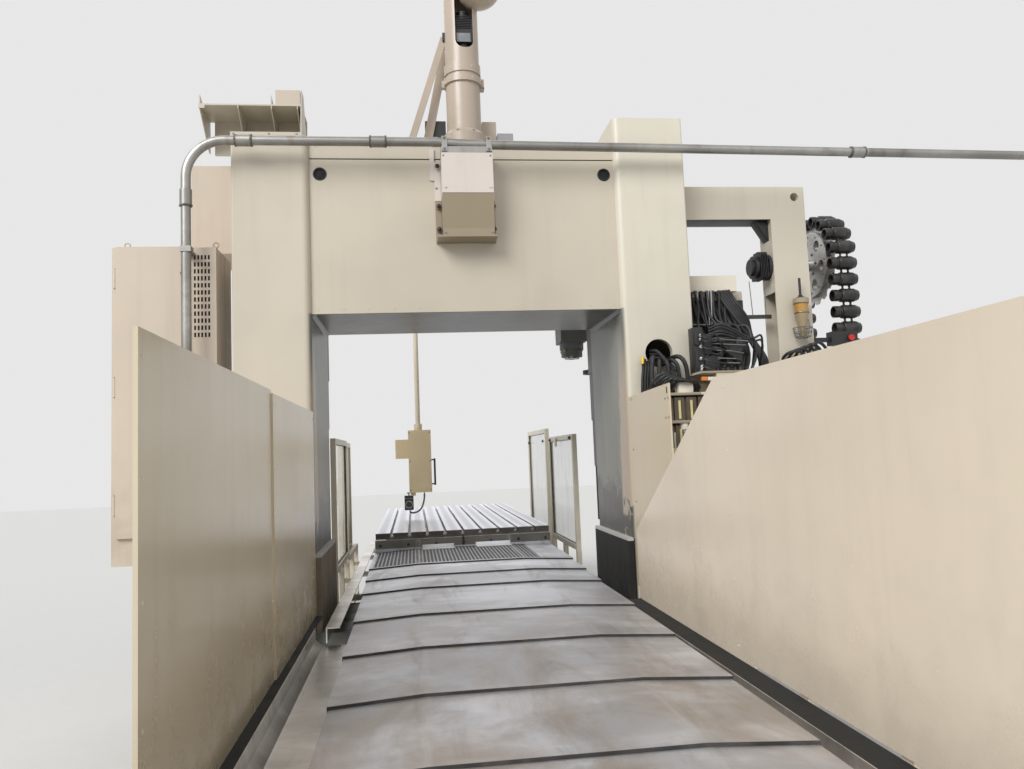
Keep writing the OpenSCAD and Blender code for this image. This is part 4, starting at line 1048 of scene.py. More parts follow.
# Grown pieces
class Growth:
    """A Geometry Nodes tree that turns points or paths into one plain mesh."""

    def __init__(self, name: str, sizes: dict[str, tuple[str, Any]],
                 grow: Callable[[Graph, Sock, dict[str, Sock]], Sock]) -> None:
        """Build the tree.

        Args:
            name: the tree's name.
            sizes: socket type and default by input name.
            grow: makes the geometry from the graph, the seed geometry and the inputs.
        """
        tree = bpy.data.node_groups.new(name, "GeometryNodeTree")
        tree.interface.new_socket("Seed", in_out="INPUT", socket_type="NodeSocketGeometry")
        self.keys: dict[str, str] = {}
        for key, (kind, default) in {**sizes, "Material": ("NodeSocketMaterial", None)}.items():
            made = tree.interface.new_socket(key, in_out="INPUT", socket_type=kind)
            if default is not None:
                made.default_value = default
            self.keys[key] = made.identifier
        tree.interface.new_socket("Geometry", in_out="OUTPUT", socket_type="NodeSocketGeometry")
        self.graph = Graph(tree)
        begin = tree.nodes.new("NodeGroupInput")
        inputs = {key: Sock(self.graph, begin.outputs[key]) for key in self.keys}
        shape = grow(self.graph, Sock(self.graph, begin.outputs["Seed"]), inputs)
        real = self.graph.node("GeometryNodeRealizeInstances", inputs={0: shape})
        dressed = self.graph.node("GeometryNodeSetMaterial", inputs={"Geometry": real,
                                                                     "Material": inputs["Material"]})
        end = tree.nodes.new("NodeGroupOutput")
        tree.links.new(dressed.socket, end.inputs["Geometry"])
        self.tree = tree

    def make(self, name: str, look: Look, body: str, points: Sequence[Point], aims: Sequence[Point] = (),
             edges: Sequence[tuple[int, int]] = (), **sizes: Any) -> bpy.types.Object:
        """Grow one piece.

        Args:
            name: the piece's name.
            look: its finish.
            body: the body that it rides on.
            points: seed points in millimetres.
            aims: a direction for each point.
            edges: pairs of points that form paths.
            sizes: the tree's inputs, in metres where they are lengths.

        Returns:
            The plain mesh piece.
        """
        seed = bpy.data.meshes.new(name + "_seed")
        seed.from_pydata([vec(p) for p in points], list(edges), [])
        if aims:
            aim = seed.attributes.new("aim", "FLOAT_VECTOR", "POINT")
            aim.data.foreach_set("vector", [c for a in aims for c in a])
        holder = bpy.data.objects.new(name + "_seed", seed)
        bpy.context.scene.collection.objects.link(holder)
        growth = holder.modifiers.new("growth", "NODES")
        growth.node_group = self.tree
        growth[self.keys["Material"]] = look.material
        for key, value in sizes.items():
            growth[self.keys[key]] = value
        holder.update_tag()
        bpy.context.view_layer.update()
        graph = bpy.context.evaluated_depsgraph_get()
        mesh = bpy.data.meshes.new_from_object(holder.evaluated_get(graph))
        holder.modifiers.remove(growth)
        bpy.data.objects.remove(holder)
        for attribute in [a.name for a in mesh.attributes if a.name == "aim"]:
            mesh.attributes.remove(mesh.attributes[attribute])
        mesh.name = name
        return settle(name, mesh, None, body, slot_of(look))


def grow_bolts(g: Graph, seed: Sock, size: dict[str, Sock]) -> Sock:
    """Screw heads with washers, each along its own direction.

    Args:
        g: the tree's graph.
        seed: the points, with the attribute aim.
        size: the tree's inputs by name.

    Returns:
        The heads as instances.
    """
    radius, height, sides = size["Radius"], size["Height"], size["Sides"]

    def disc(kind: str, inputs: dict[str, Value], lift: Sock) -> Sock:
        """A cylinder or cone whose middle is lifted along Z.

        Args:
            kind: the type of its node.
            inputs: that node's values by socket name.
            lift: height of its middle.

        Returns:
            The lifted shape.
        """
        shape = g.node(kind, {"fill_type": "NGON"}, inputs, out="Mesh")
        up = g.node("ShaderNodeCombineXYZ", inputs={2: lift})
        return g.node("GeometryNodeTransform", None, {"Geometry": shape, "Translation": up})

    cylinder, cone = "GeometryNodeMeshCylinder", "GeometryNodeMeshCone"
    head = disc(cylinder, {"Vertices": sides, "Radius": radius, "Depth": height}, height * 0.5)
    cap = disc(cone, {"Vertices": sides, "Radius Top": radius * 0.72, "Radius Bottom": radius,
                      "Depth": height * 0.22}, height)
    socket = disc(cylinder, {"Vertices": 6, "Radius": radius * 0.42, "Depth": height * 0.12}, height * 1.27)
    washer = disc(cylinder, {"Vertices": 20, "Radius": radius * 1.5, "Depth": height * 0.24}, height * 0.12)
    joined = g.tree.nodes.new("GeometryNodeJoinGeometry")
    for part in (head, cap, washer, socket):
        g.tree.links.new(part.socket, joined.inputs[0])
    aim = g.node("GeometryNodeInputNamedAttribute", {"data_type": "FLOAT_VECTOR"}, {"Name": "aim"})
    turn = g.node("FunctionNodeAlignRotationToVector", {"axis": "Z"}, {"Vector": aim})
    return g.node("GeometryNodeInstanceOnPoints", None,
                  {"Points": seed, "Instance": Sock(g, joined.outputs[0]), "Rotation": turn})


def grow_sweep(g: Graph, seed: Sock, size: dict[str, Sock]) -> Sock:
    """Round tubes along paths.

    Args:
        g: the tree's graph.
        seed: the edges of the paths.
        size: the tree's inputs by name.

    Returns:
        The tubes.
    """
    path = g.node("GeometryNodeMeshToCurve", inputs={0: seed})
    ring = g.node("GeometryNodeCurvePrimitiveCircle", {"mode": "RADIUS"},
                  {"Resolution": size["Sides"], "Radius": size["Radius"]})
    tube = g.node("GeometryNodeCurveToMesh", None, {0: path, 1: ring, "Fill Caps": True})
    return g.node("GeometryNodeSetShadeSmooth", None, {0: tube})


def grow_slats(g: Graph, seed: Sock, size: dict[str, Sock]) -> Sock:
    """Bars of one size in rows.

    Args:
        g: the tree's graph.
        seed: the first bars' centres.
        size: the tree's inputs by name.

    Returns:
        The bars as instances.
    """
    row = g.node("GeometryNodeMeshLine", {"mode": "OFFSET"},
                 {"Count": size["Count"], "Offset": size["Offset"]})
    bar = g.node("GeometryNodeMeshCube", None, {"Size": size["Size"]}, out="Mesh")
    bars = g.node("GeometryNodeInstanceOnPoints", None, {"Points": row, "Instance": bar})
    return g.node("GeometryNodeInstanceOnPoints", None, {"Points": seed, "Instance": bars})


LENGTH = "NodeSocketFloat"
BOLTS = Growth("grow_bolts", {"Radius": (LENGTH, 0.006), "Height": (LENGTH, 0.004),
                              "Sides": ("NodeSocketInt", 6)}, grow_bolts)
SWEEP = Growth("grow_sweep", {"Radius": (LENGTH, 0.004), "Sides": ("NodeSocketInt", 10)}, grow_sweep)
SLATS = Growth("grow_slats", {"Count": ("NodeSocketInt", 4), "Offset": ("NodeSocketVector", (0.02, 0, 0)),
                              "Size": ("NodeSocketVector", (0.01, 0.01, 0.01))}, grow_slats)

SLOTS = {Look.BOLT: "screw_steel", Look.PLASTIC: "black_plastic", Look.RUBBER: "black_rubber",
         Look.WIPER: "black_rubber", Look.DARKNESS: "dark_steel", Look.DARK: "dark_steel",
         Look.RELAY: "valve_brown", Look.TUBE: "valve_brown", Look.BRONZE: "valve_brown",
         Look.IVORY: "panel_paint", Look.GREY: "black_plastic", Look.ORANGE: "red_plastic",
         Look.BRASS: "screw_steel", Look.YELLOW: "black_plastic", Look.SCREEN: "black_plastic",
         Look.STRIP: "trough_steel", Look.SCREW: "screw_steel", Look.ZINC_DARK: "conduit_zinc",
         Look.POT: "black_plastic", Look.GUARD: "guard_paint", Look.PANEL: "panel_paint",
         Look.BOX: "guard_paint", Look.HEAD: "rail_iron"}


def slot_of(look: Look) -> str:
    """The record's slot that a finish belongs to."""
    return SLOTS.get(look, "cream_paint")


def bolts(name: str, points: Sequence[Point], aim: Point, radius: float, height: float,
          look: Look = Look.BOLT, body: str = BASE, sides: int = 6) -> bpy.types.Object:
    """Screw heads that all point one way."""
    return BOLTS.make(name, look, body, points, [aim] * len(points), Radius=radius * MM, Height=height * MM,
                      Sides=sides)


def tubes(name: str, paths: Sequence[Sequence[Point]], radius: float, look: Look = Look.RUBBER,
          body: str = BASE, sides: int = 10) -> bpy.types.Object:
    """Round tubes along several paths.

    Args:
        name: the piece's name.
        paths: each tube's points.
        radius: the tubes' radius.
        look: their finish.
        body: the body that they ride on.
        sides: steps round a tube.

    Returns:
        The piece.
    """
    points = [p for path in paths for p in path]
    edges, start = [], 0
    for path in paths:
        edges += [(start + i, start + i + 1) for i in range(len(path) - 1)]
        start += len(path)
    return SWEEP.make(name, look, body, points, edges=edges, Radius=radius * MM, Sides=sides)


def slats(name: str, starts: Sequence[Point], offset: Point, count: int, size: Point,
          look: Look = Look.DARK, body: str = BASE) -> bpy.types.Object:
    """Rows of equal bars; starts are the centres of the first ones."""
    return SLATS.make(name, look, body, starts, Count=count, Offset=tuple(vec(offset)), Size=tuple(vec(size)))


def curve(points: Sequence[Point], steps: int = 6) -> list[Vector]:
    """A smooth line through points.

    Args:
        points: what it passes.
        steps: points for each stretch.

    Returns:
        The line's points.
    """
    p = [Vector(q) for q in points]
    p = [p[0] * 2 - p[1]] + p + [p[-1] * 2 - p[-2]]
    line = []
    for a, b, c, d in zip(p, p[1:], p[2:], p[3:]):
        for i in range(steps):
            t = i / steps
            line.append(0.5 * (2 * b + (c - a) * t + (2 * a - 5 * b + 4 * c - d) * t * t
                               + (3 * b - a - 3 * c + d) * t ** 3))
    return line + [p[-2]]


def grid(xs: Sequence[float], ys: Sequence[float], zs: Sequence[float]) -> list[Place]:
    """All points of three lists of places."""
    return [(x, y, z) for x in xs for y in ys for z in zs]


def blocks(name: str, look: Look, boxes: Sequence[Block], body: str = BASE,
           slot: Optional[str] = None) -> bpy.types.Object:
    """One piece of boxes.

    Args:
        name: the piece's name.
        look: its finish.
        boxes: each box's lowest corner, highest corner and rounding.
        body: the body that it rides on.
        slot: the record's material slot, or None for the finish's own.

    Returns:
        The piece.
    """
    form = Form()
    for low, high, round_off in boxes:
        form.box(low, high, round_off)
    return form.piece(name, look, body, slot)


def turned(name: str, look: Look, feet: Sequence[Point], axis: Point, profile: Profile, sides: int = 32,
           body: str = BASE) -> bpy.types.Object:
    """One piece of equal turned shapes.

    Args:
        name: the piece's name.
        look: its finish.
        feet: where each shape's axis starts.
        axis: the direction of all of them.
        profile: (radius, height) pairs, as for a form's lathe.
        sides: steps round the axis.
        body: the body that it rides on.

    Returns:
        The piece.
    """
    form = Form()
    for foot in feet:
        form.lathe(foot, axis, profile, sides)
    return form.piece(name, look, body)


# The machine
@dataclass
class Dressing:
    """Gives each CAD node its finish."""

    looks: dict[str, Look] = field(default_factory=lambda: {
        "bed": Look.BED, "bed_feet": Look.DARK, "left_column": Look.LEFT, "right_column": Look.RIGHT,
        "bridge_beam": Look.BRIDGE, "bridge_cover": Look.PANEL, "cable_box": Look.BOX,
        "mast": Look.MAST, "motors": Look.DARK, "conduit": Look.ZINC, "left_guard": Look.GUARD_LEFT,
        "right_guard": Look.GUARD, "valve_cabinet": Look.SHELF, "valve_blocks": Look.RELAY,
        "cabinet": Look.CABINET, "junction_boxes": Look.CABINET, "cable_tray": Look.CREAM,
        "chip_troughs": Look.TROUGH, "foot_covers": Look.FOOT, "atc_frame": Look.CREAM,
        "manifold": Look.MANIFOLD, "hoses": Look.RUBBER, "oil_bowl": Look.BOWL, "magazine": Look.SPROCKET,
        "tool_pots": Look.POT, "button_box": Look.DARK, "front_frames": Look.WINDOW,
        "front_panes": Look.PANE, "pendant_post": Look.FRAME, "rear_cover_7": Look.COVER,
        "front_cover_2": Look.COVER, "cabinet_door": Look.CABINET, "stop_button": Look.RED,
        "arm_shaft": Look.SCREW, "change_arm": Look.DARK, "sliding_door": Look.WINDOW,
        "table": Look.TABLE, "rear_cover_0": Look.GRILLE, "front_cover_0": Look.COVER,
        "front_cover_1": Look.COVER, "table_screw": Look.SCREW, "cross_rail": Look.HEAD,
        "saddle": Look.HEAD, "ram": Look.BED, "spindle": Look.SCREW, "pendant_arm": Look.FRAME,
        "pendant_box": Look.PENDANT, "pendant_stop": Look.RED, "hand_unit": Look.PLASTIC,
        "hand_dial": Look.PLASTIC, "hand_cord": Look.RUBBER,
        **{f"rear_cover_{k}": Look.COVER for k in range(1, 7)},
        **{f"column_cover_{k}": Look.COLUMN_SHEET for k in range(1, 4)}})

    def build(self) -> None:
        """Dress every node."""
        for name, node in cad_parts.items():
            node.data.materials.clear()
            node.data.materials.append(self.looks[name].material)
            log.info("node %s: %s", name, self.looks[name].name)


@dataclass
class WayCovers:
    """Wiper lips of the telescopic covers over the bed."""

    rear: tuple[float, ...] = (620, 140, -320, -1090, -1760, -2410, -3040, -3700)
    front: tuple[float, ...] = (5080, 5195)
    front_length: float = 1680
    half: float = 733
    eave: float = 735
    flat: float = 380
    rise: float = 20
    step_x: float = 5
    step_z: float = 10
    skirt: float = 576
    lip: float = 4
    lap: float = 0.5
    gap: float = 0.4
    depth: float = 9

    def line(self, k: int, drop: float) -> list[Pair]:
        """Roof line of a cover, lowered and drawn in.

        Args:
            k: the cover's number, counted from the table.
            drop: how far the line is lowered.

        Returns:
            The line's (x, z) points from skirt to skirt.
        """
        w, z = self.half - self.step_x * k - drop * 0.5, self.eave - self.step_z * k - drop
        roof = z + self.rise
        return [(-w, self.skirt), (-w, z), (-self.flat, roof), (self.flat, roof), (w, z), (w, self.skirt)]

    def wiper(self, name: str, body: str, k: int, start: float, end: float) -> None:
        """Make one lip under a cover's roof line.

        Args:
            name: the piece's name.
            body: the body that it rides on.
            k: the cover's number, counted from the table.
            start: its nearer Y.
            end: its farther Y.
        """
        outer, inner = self.line(k, self.gap), self.line(k, self.gap + self.depth)
        Form().band(outer, inner, start, end).piece(name, Look.WIPER, body)

    def build(self) -> None:
        """Make a lip for each cover's open edge."""
        last = len(self.rear) - 1
        for k, edge in enumerate(self.rear):
            body = {0: "table", last: BASE}.get(k, f"rear_cover_{k}")
            start = edge if k == last else edge - self.lip
            self.wiper(f"rear_wiper_{k}", body, k, start, start + self.lip + self.lap)
        for k, (edge, body) in enumerate(zip(self.front, ("table", "front_cover_1"))):
            end = edge + self.front_length
            self.wiper(f"front_wiper_{k}", body, k, end - self.lap, end + self.lip)


@dataclass
class Table:
    """Small pieces on the table and its rear bracket."""

    top: float = 887
    half: float = 730
    plate_spans: tuple[Pair, ...] = ((-347, -84), (97, 388))
    plate_near: float = 1450
    plate_far: float = 1582
    plate_low: float = 757.5
    plate_high: float = 762
    flange_near: float = 1579
    flange_high: float = 784
    plug_rows: tuple[float, ...] = (2122, 4436)
    plug_lanes: tuple[float, ...] = (-600, -300, 0, 150, 450, 600)
    side_bolt_z: float = 861
    side_bolt_rows: range = range(1800, 5000, 400)

    def build(self) -> None:
        """Make the splash plates, lifting plugs and side bolts."""
        plates = []
        for x0, x1 in self.plate_spans:
            plates.append(((x0, self.plate_near, self.plate_low), (x1, self.plate_far, self.plate_high), 1))
            plates.append(((x0, self.flange_near, self.plate_low), (x1, self.plate_far, self.flange_high), 1))
        blocks("splash_strips", Look.STRIP, plates, "table")
        bolts("table_plugs", [(x, y, self.top - 0.5) for y in self.plug_rows for x in self.plug_lanes],
              UP, 10, 1.6, body="table")
        for side, name in ((-1, "table_side_bolts"), (1, "table_side_bolts_right")):
            bolts(name, grid((side * self.half,), self.side_bolt_rows, (self.side_bolt_z,)), (side, 0, 0),
                  9, 5, body="table")


@dataclass
class Portal:
    """Columns, bridge cover and cable box."""

    face: float = 40
    inner: float = 1025
    hole_x: float = 957
    hole_z: float = 3391
    hole_radius: float = 40
    hole_shade_y: float = 47.6
    joint_z: float = 3494
    joint_half: float = 3.4
    joint_near: float = 44.5
    joint_far: float = 47.9
    screw_places: range = range(-985, 984, 164)
    screw_rows: tuple[float, ...] = (2486, 3581)
    box_low_x: float = -240
    box_high_x: float = 210
    knob_places: tuple[Pair, ...] = (
        (-186, 3435), (-184, 3161), (-184, 3004), (183, 3161), (183, 3004))
    knob_foot: float = 3.2
    gasket_x: tuple[Pair, ...] = ((-164.2, -161.5), (173.2, 170.5))
    gasket_y: Pair = (26.5, 28.2)
    gasket_z: Pair = (3470, 2931)

    def build(self) -> None:
        """Make grommets with painted shade in their holes, joint strip, cover screws and box details."""
        form = Form()
        for side in SIDES:
            form.ring((side * self.hole_x, self.face - 0.5, self.hole_z), REAR, self.hole_radius, 5)
        form.piece("bridge_grommets", Look.RUBBER)
        # Black discs inside the grommets' holes are painted shade for the dark depth behind them.
        feet = [(side * self.hole_x, self.hole_shade_y, self.hole_z) for side in SIDES]
        turned("grommet_linings", Look.DARKNESS, feet, REAR,
               [(0, 0), (37.5, 0), (37.5, 1.5), (30, 2.2), (0, 2.2)])
        end = self.inner - 4
        blocks("bridge_joint_seal", Look.DARKNESS,
               [((-end, self.joint_near, self.joint_z - self.joint_half),
                 (end, self.joint_far, self.joint_z + self.joint_half), 0.5)], slot="black_rubber")
        places = [x for x in self.screw_places if not self.box_low_x < x < self.box_high_x]
        bolts("bridge_cover_screws", grid(places, (self.face,), self.screw_rows), REAR, 5, 2, Look.PANEL,
              sides=16)
        turned("box_knobs", Look.DARK, [(x, self.knob_foot, z) for x, z in self.knob_places], REAR,
               [(0, 0), (12, 0), (15, 2), (15, 6), (11, 9), (5, 10), (0, 10)], 20)
        form = Form()
        for edges in self.gasket_x:
            form.band(*([(x, z) for z in self.gasket_z] for x in edges), *self.gasket_y)
        form.piece("box_gasket", Look.RUBBER)
        bolts("box_screws", [(x, y, z) for y, z in ((-150, 3450), (-124, 2950)) for x in (-150, 158)],
              REAR, 4.5, 2)
        bolts("box_plate_screws", grid((-193, 186), (28,), (2960, 3290)), REAR, 6, 3)


@dataclass
class Mast:
    """Tube mast: flange bolts, motor fins, straps and cable."""

    x: float = 21
    y: float = 215
    flare: Pair = (141, 3717)
    flare_rise: float = 0.5
    flare_phase: float = 22.5
    bands: tuple[tuple[str, float, float], ...] = (
        ("mast_collar_bolts", 134, 4103), ("mast_ring_bolts", 128, 4186))
    band_phase: float = 9
    fin_place: Place = (14, -76, 4480)
    lugs: tuple[Block, ...] = (((137.2, 195, 4058), (170, 235, 4080), 2),
                               ((-112, 190, 4408), (-84, 240, 4470), 4))
    cable: tuple[Place, ...] = ((128, 262, 3616), (140, 276, 3680), (132, 262, 3760), (118, 262, 3900),
                                (118, 262, 4060))

    def studs(self, name: str, radius: float, z: float, angles: Sequence[float], rise: float,
              size: Pair, sides: int, look: Look) -> None:
        """Make screw heads on a circle round the mast, each aimed outwards.

        Args:
            name: the piece's name.
            radius: the circle's radius.
            z: its height.
            angles: where the heads are, in radians.
            rise: how much they aim upwards.
            size: their radius and height.
            sides: their sides.
            look: their finish.
        """
        aims = [(math.cos(a), math.sin(a), rise) for a in angles]
        BOLTS.make(name, look, BASE, around((self.x, self.y, z), radius, angles), aims,
                   Radius=size[0] * MM, Height=size[1] * MM, Sides=sides)

    def build(self) -> None:
        """Make the mast's small pieces."""
        self.studs("mast_flare_bolts", *self.flare, turns(8, self.flare_phase), self.flare_rise, (8, 6), 6,
                   Look.BOLT)
        for name, radius, z in self.bands:
            self.studs(name, radius - 0.5, z, turns(10, self.band_phase), 0, (5, 3), 16, Look.FRAME)
        x, y, z = self.fin_place
        slats("mast_motor_fins", [(self.x + x, self.y + y, z)], (0, 0, 12), 8, (104, 8, 4))
        blocks("mast_motor_plate", Look.GREY,
               [((self.x - 40, self.y - 82, 4376), (self.x + 60, self.y - 74, 4440), 3),
                ((self.x - 46, self.y - 80, 4328), (self.x + 66, self.y - 60, 4340), 2)])
        blocks("mast_dark_lugs", Look.DARK, self.lugs)
        bolts("strut_foot_bolts", grid((-405, -337), (190, 240), (3622,)), UP, 8, 6)
        tubes("mast_cable", [curve(self.cable)], 7)


@dataclass
class Conduit:
    """Coupling screws, locknuts and clamp bolts of the long conduit."""

    y: float = -120
    riser_x: float = -1763
    riser_nut_z: float = 3126
    couplings: tuple[Pair, ...] = ((-1410, 3551), (-567, 3551), (2733, 3503))
    coupling_half: float = 50
    nut: Profile = ((30, -6), (42, -6), (42, 2), (38, 5), (30, 5))
    foot_radius: float = 60
    foot_angles: tuple[float, ...] = (0.8, 2.4, 3.9, 5.5)

    def build(self) -> None:
        """Make the conduit's small pieces."""
        form = Form()
        for x, z in self.couplings:
            for side in SIDES:
                form.lathe((x + side * self.coupling_half, self.y, z), (side, 0, 0), self.nut, 8)
        form.lathe((self.riser_x, self.y, self.riser_nut_z), DOWN, self.nut, 8)
        form.piece("conduit_locknuts", Look.ZINC_DARK)
        bolts("clamp_bolts", grid((-140, 150), (-156.3,), (3494, 3567)), REAR, 7, 6)
        bolts("conduit_foot_bolts", around((self.riser_x, self.y, 14), self.foot_radius, self.foot_angles),
              UP, 8, 8)


@dataclass
class Guards:
    """Screws and edge beads of the side guards."""

    left: float = -1031
    left_far: float = -1023
    right: float = 1019
    panel: float = 1038
    left_rows: range = range(610, 1790, 290)
    right_rows: range = range(610, 1800, 290)
    panel_screws: tuple[Pair, ...] = (
        (-67, 1830), (-67, 1500), (-67, 1160), (-67, 720), (-786, 1783), (-840, 1783), (-784, 1674),
        (-840, 1674), (-790, 1160), (-790, 720))
    seal_x: float = 1021
    seal_z: float = 551

    def build(self) -> None:
        """Make the guards' small pieces."""
        near = grid((self.left,), (-3240, -1524), self.left_rows)
        far = grid((self.left_far,), (-1456, -40), self.left_rows)
        bolts("left_guard_screws", near + far, RIGHT, 4.5, 1.8, Look.GUARD, sides=16)
        bolts("right_guard_screws", grid((self.right,), (-3610, -1700), self.right_rows), LEFT, 4.5, 1.8,
              Look.GUARD, sides=16)
        bolts("small_panel_screws", [(self.panel, y, z) for y, z in self.panel_screws], LEFT, 5, 2, sides=16)
        blocks("panel_slot", Look.DARKNESS,
               [((self.panel - 1.4, -832, 1812), (self.panel + 0.4, -818, 1846), 0.4)])
        tubes("right_guard_seal", [grid((self.seal_x,), (-1870, -104), (self.seal_z,))], 2.5)


@dataclass
class ValveCabinet:
    """Relays, terminals and valve in the open shelves, and the cables of the column's hole."""

    relay_x: float = 1150
    relay_y: float = -231
    relay_pitch: float = 79
    relay_rows: tuple[float, ...] = (1565, 1748)
    relay_count: int = 5
    rails: tuple[Block, ...] = (((1112, -262, 1658.5), (1558, -236, 1671.5), 2),
                                ((1112, -262, 1837.5), (1449, -236, 1851), 2),
                                ((1452, -266, 1973), (1878, -246, 1986), 2))
    plug: Profile = (
        (0, 0), (26, 0), (28, 6), (28, 40), (14, 52), (14, 90), (0, 90))
    orange: Block = ((1458, -264, 1925), (1496, -246, 1950), 3)
    white: Block = ((1500, -263, 1925), (1560, -246, 1948), 3)
    bag: Block = ((1318, -210, 1853), (1420, -150, 1925), 18)
    valve: tuple[Block, ...] = (((1456, -150, 1986), (1524, -60, 2290), 6),
                                ((1534, -130, 1986), (1640, -30, 2098), 6),
                                ((1540, -110, 2112), (1600, -40, 2250), 6),
                                ((1462, -166, 2170), (1490, -149, 2262), 3),
                                ((1462, -160, 2010), (1486, -149, 2130), 3))
    plug_face: float = -149
    valve_plugs: tuple[Place, ...] = (
        (1504, 2232, 9), (1499, 2206, 7), (1506, 2158, 10), (1500, 2079, 9), (1506, 2026, 11),
        (1500, 2006, 7))

    def relays(self) -> None:
        """Make the relays' faces, tubes and ridges."""
        faces = [(self.relay_x + self.relay_pitch * i, self.relay_y, z)
                 for i in range(self.relay_count) for z in self.relay_rows]
        y = self.relay_y
        slats("relay_faces", faces, RIGHT, 1, (66, 10, 152), Look.RELAY)
        slats("relay_tubes", [(x, y - 7, z - 4) for x, _, z in faces], RIGHT, 1, (14, 8, 118), Look.TUBE)
        ridges = [(x + side * 22, y - 6, z - 66) for x, _, z in faces for side in SIDES]
        slats("relay_ridges", ridges, (0, 0, 11), 13, (18, 5, 6), Look.BRONZE)

    def cables(self) -> None:
        """Make the cables that hang out of the column's hole."""
        tubes("column_cable_loops", [
            curve([(x - 40, -120, 1855), (x - 25, -190 - 8 * i, 1930), (x + 25, -215 - 6 * i, 1975 - 9 * i),
                   (x + 120, -200, 1950 - 8 * i), (x + 235 - 16 * i, -150, 1858)], 7)
            for i, x in enumerate(range(1180, 1331, 30))], 10)
        tubes("column_cable_bundle", [
            curve([(1140 + 17 * i, -28 - 6 * i, 2108 - 12 * i), (1134 + 17 * i, -60 - 6 * i, 2040),
                   (1120 + 18 * i, -75, 1960), (1112 + 19 * i, -80, 1854)], 5) for i in range(4)], 9)
        tubes("column_cable_arches", [
            curve([(1215, 30, 2160 - 22 * i), (1240 + 22 * i, -40, 2150 - 26 * i),
                   (1275 + 26 * i, -90, 2080 - 22 * i), (1300 + 30 * i, -110, 1990),
                   (1315 + 32 * i, -115, 1854)], 6) for i in range(3)], 11)
        Form().rod((1131, -62, 2062), (1136, -50, 2112), 11.5).piece("cable_sleeve", Look.YELLOW)

    def build(self) -> None:
        """Make the shelves' small pieces."""
        self.relays()
        blocks("shelf_rails", Look.BOX, self.rails)
        form = Form().lathe((1335, -225, 1657), DOWN, self.plug, 20)
        form.box((1250, -228, 1500), (1300, -200, 1600), 5).piece("shelf_white_parts", Look.IVORY)
        for name, look, block in (("orange_terminal", Look.ORANGE, self.orange),
                                  ("white_terminal", Look.IVORY, self.white),
                                  ("cable_bag", Look.IVORY, self.bag)):
            blocks(name, look, [block])
        self.cables()
        blocks("valve_box", Look.DARK, self.valve)
        form = Form()
        for x, z, radius in self.valve_plugs:
            base = (x, self.plug_face, z)
            form.rod(base, (x - 2, self.plug_face - 23, z + 4), radius * 0.8, soft=3)
            form.rod(base, (x, self.plug_face - 9, z), radius)
        form.piece("valve_plugs", Look.STRIP)


@dataclass
class Cabinet:
    """Electrical cabinet, boxes and tray."""

    vent: Block = ((-1748, 5.5, 2322), (-1640, 8.5, 2890), 1)
    lock_x: float = -1812
    lock_y: float = -26
    lock: Profile = ((0, 0), (11, 0), (11, 5), (8, 7), (0, 7))
    lock_rows: tuple[float, ...] = (1500, 2100, 2700)
    hinge_x: float = -2221
    hinge_y: float = -13
    hinge_rows: tuple[float, ...] = (1222, 1950, 2633)
    toggle_rows: range = range(1315, 2556, 310)
    gland_places: range = range(-2150, -1699, 90)

    def build(self) -> None:
        """Make the cabinet's small pieces."""
        blocks("vent_filter", Look.DARKNESS, [self.vent])
        form = Form()
        for z in self.lock_rows:
            form.box((self.lock_x + 6, self.lock_y - 5, z), (self.lock_x + 18, self.lock_y - 0.2, z + 42), 2)
            form.lathe((self.lock_x, self.lock_y, z + 21), REAR, self.lock, 20)
        form.piece("door_locks", Look.DARK, "cabinet_door")
        form = Form()
        for z in self.hinge_rows:
            form.rod((self.hinge_x, self.hinge_y, z - 4), (self.hinge_x, self.hinge_y, z + 124), 5)
        form.piece("door_hinge_pins", Look.BOLT, "cabinet_door")
        slats("breaker_toggles", [(-2117, 279, z) for z in self.toggle_rows], (92, 0, 0), 5, (22, 16, 30),
              Look.PLASTIC)
        bolts("cabinet_rim_screws", grid((-1764, -1622), (0,), (1120, 1500, 1900, 2250)), REAR, 5, 2,
              Look.CABINET, sides=16)
        turned("cable_glands", Look.PLASTIC, [(x, 160, 913.5) for x in self.gland_places], DOWN,
               [(0, 0), (24, 0), (24, 8), (18, 12), (18, 26), (0, 26)], 8)
        bolts("side_box_screws", grid((-1866,), (425, 875), (2980, 3260, 3550)), LEFT, 6, 3)
        bolts("tray_bolts", grid((-1520, -1290, -1110), (99.5,), (3665, 3685)), REAR, 6, 4)


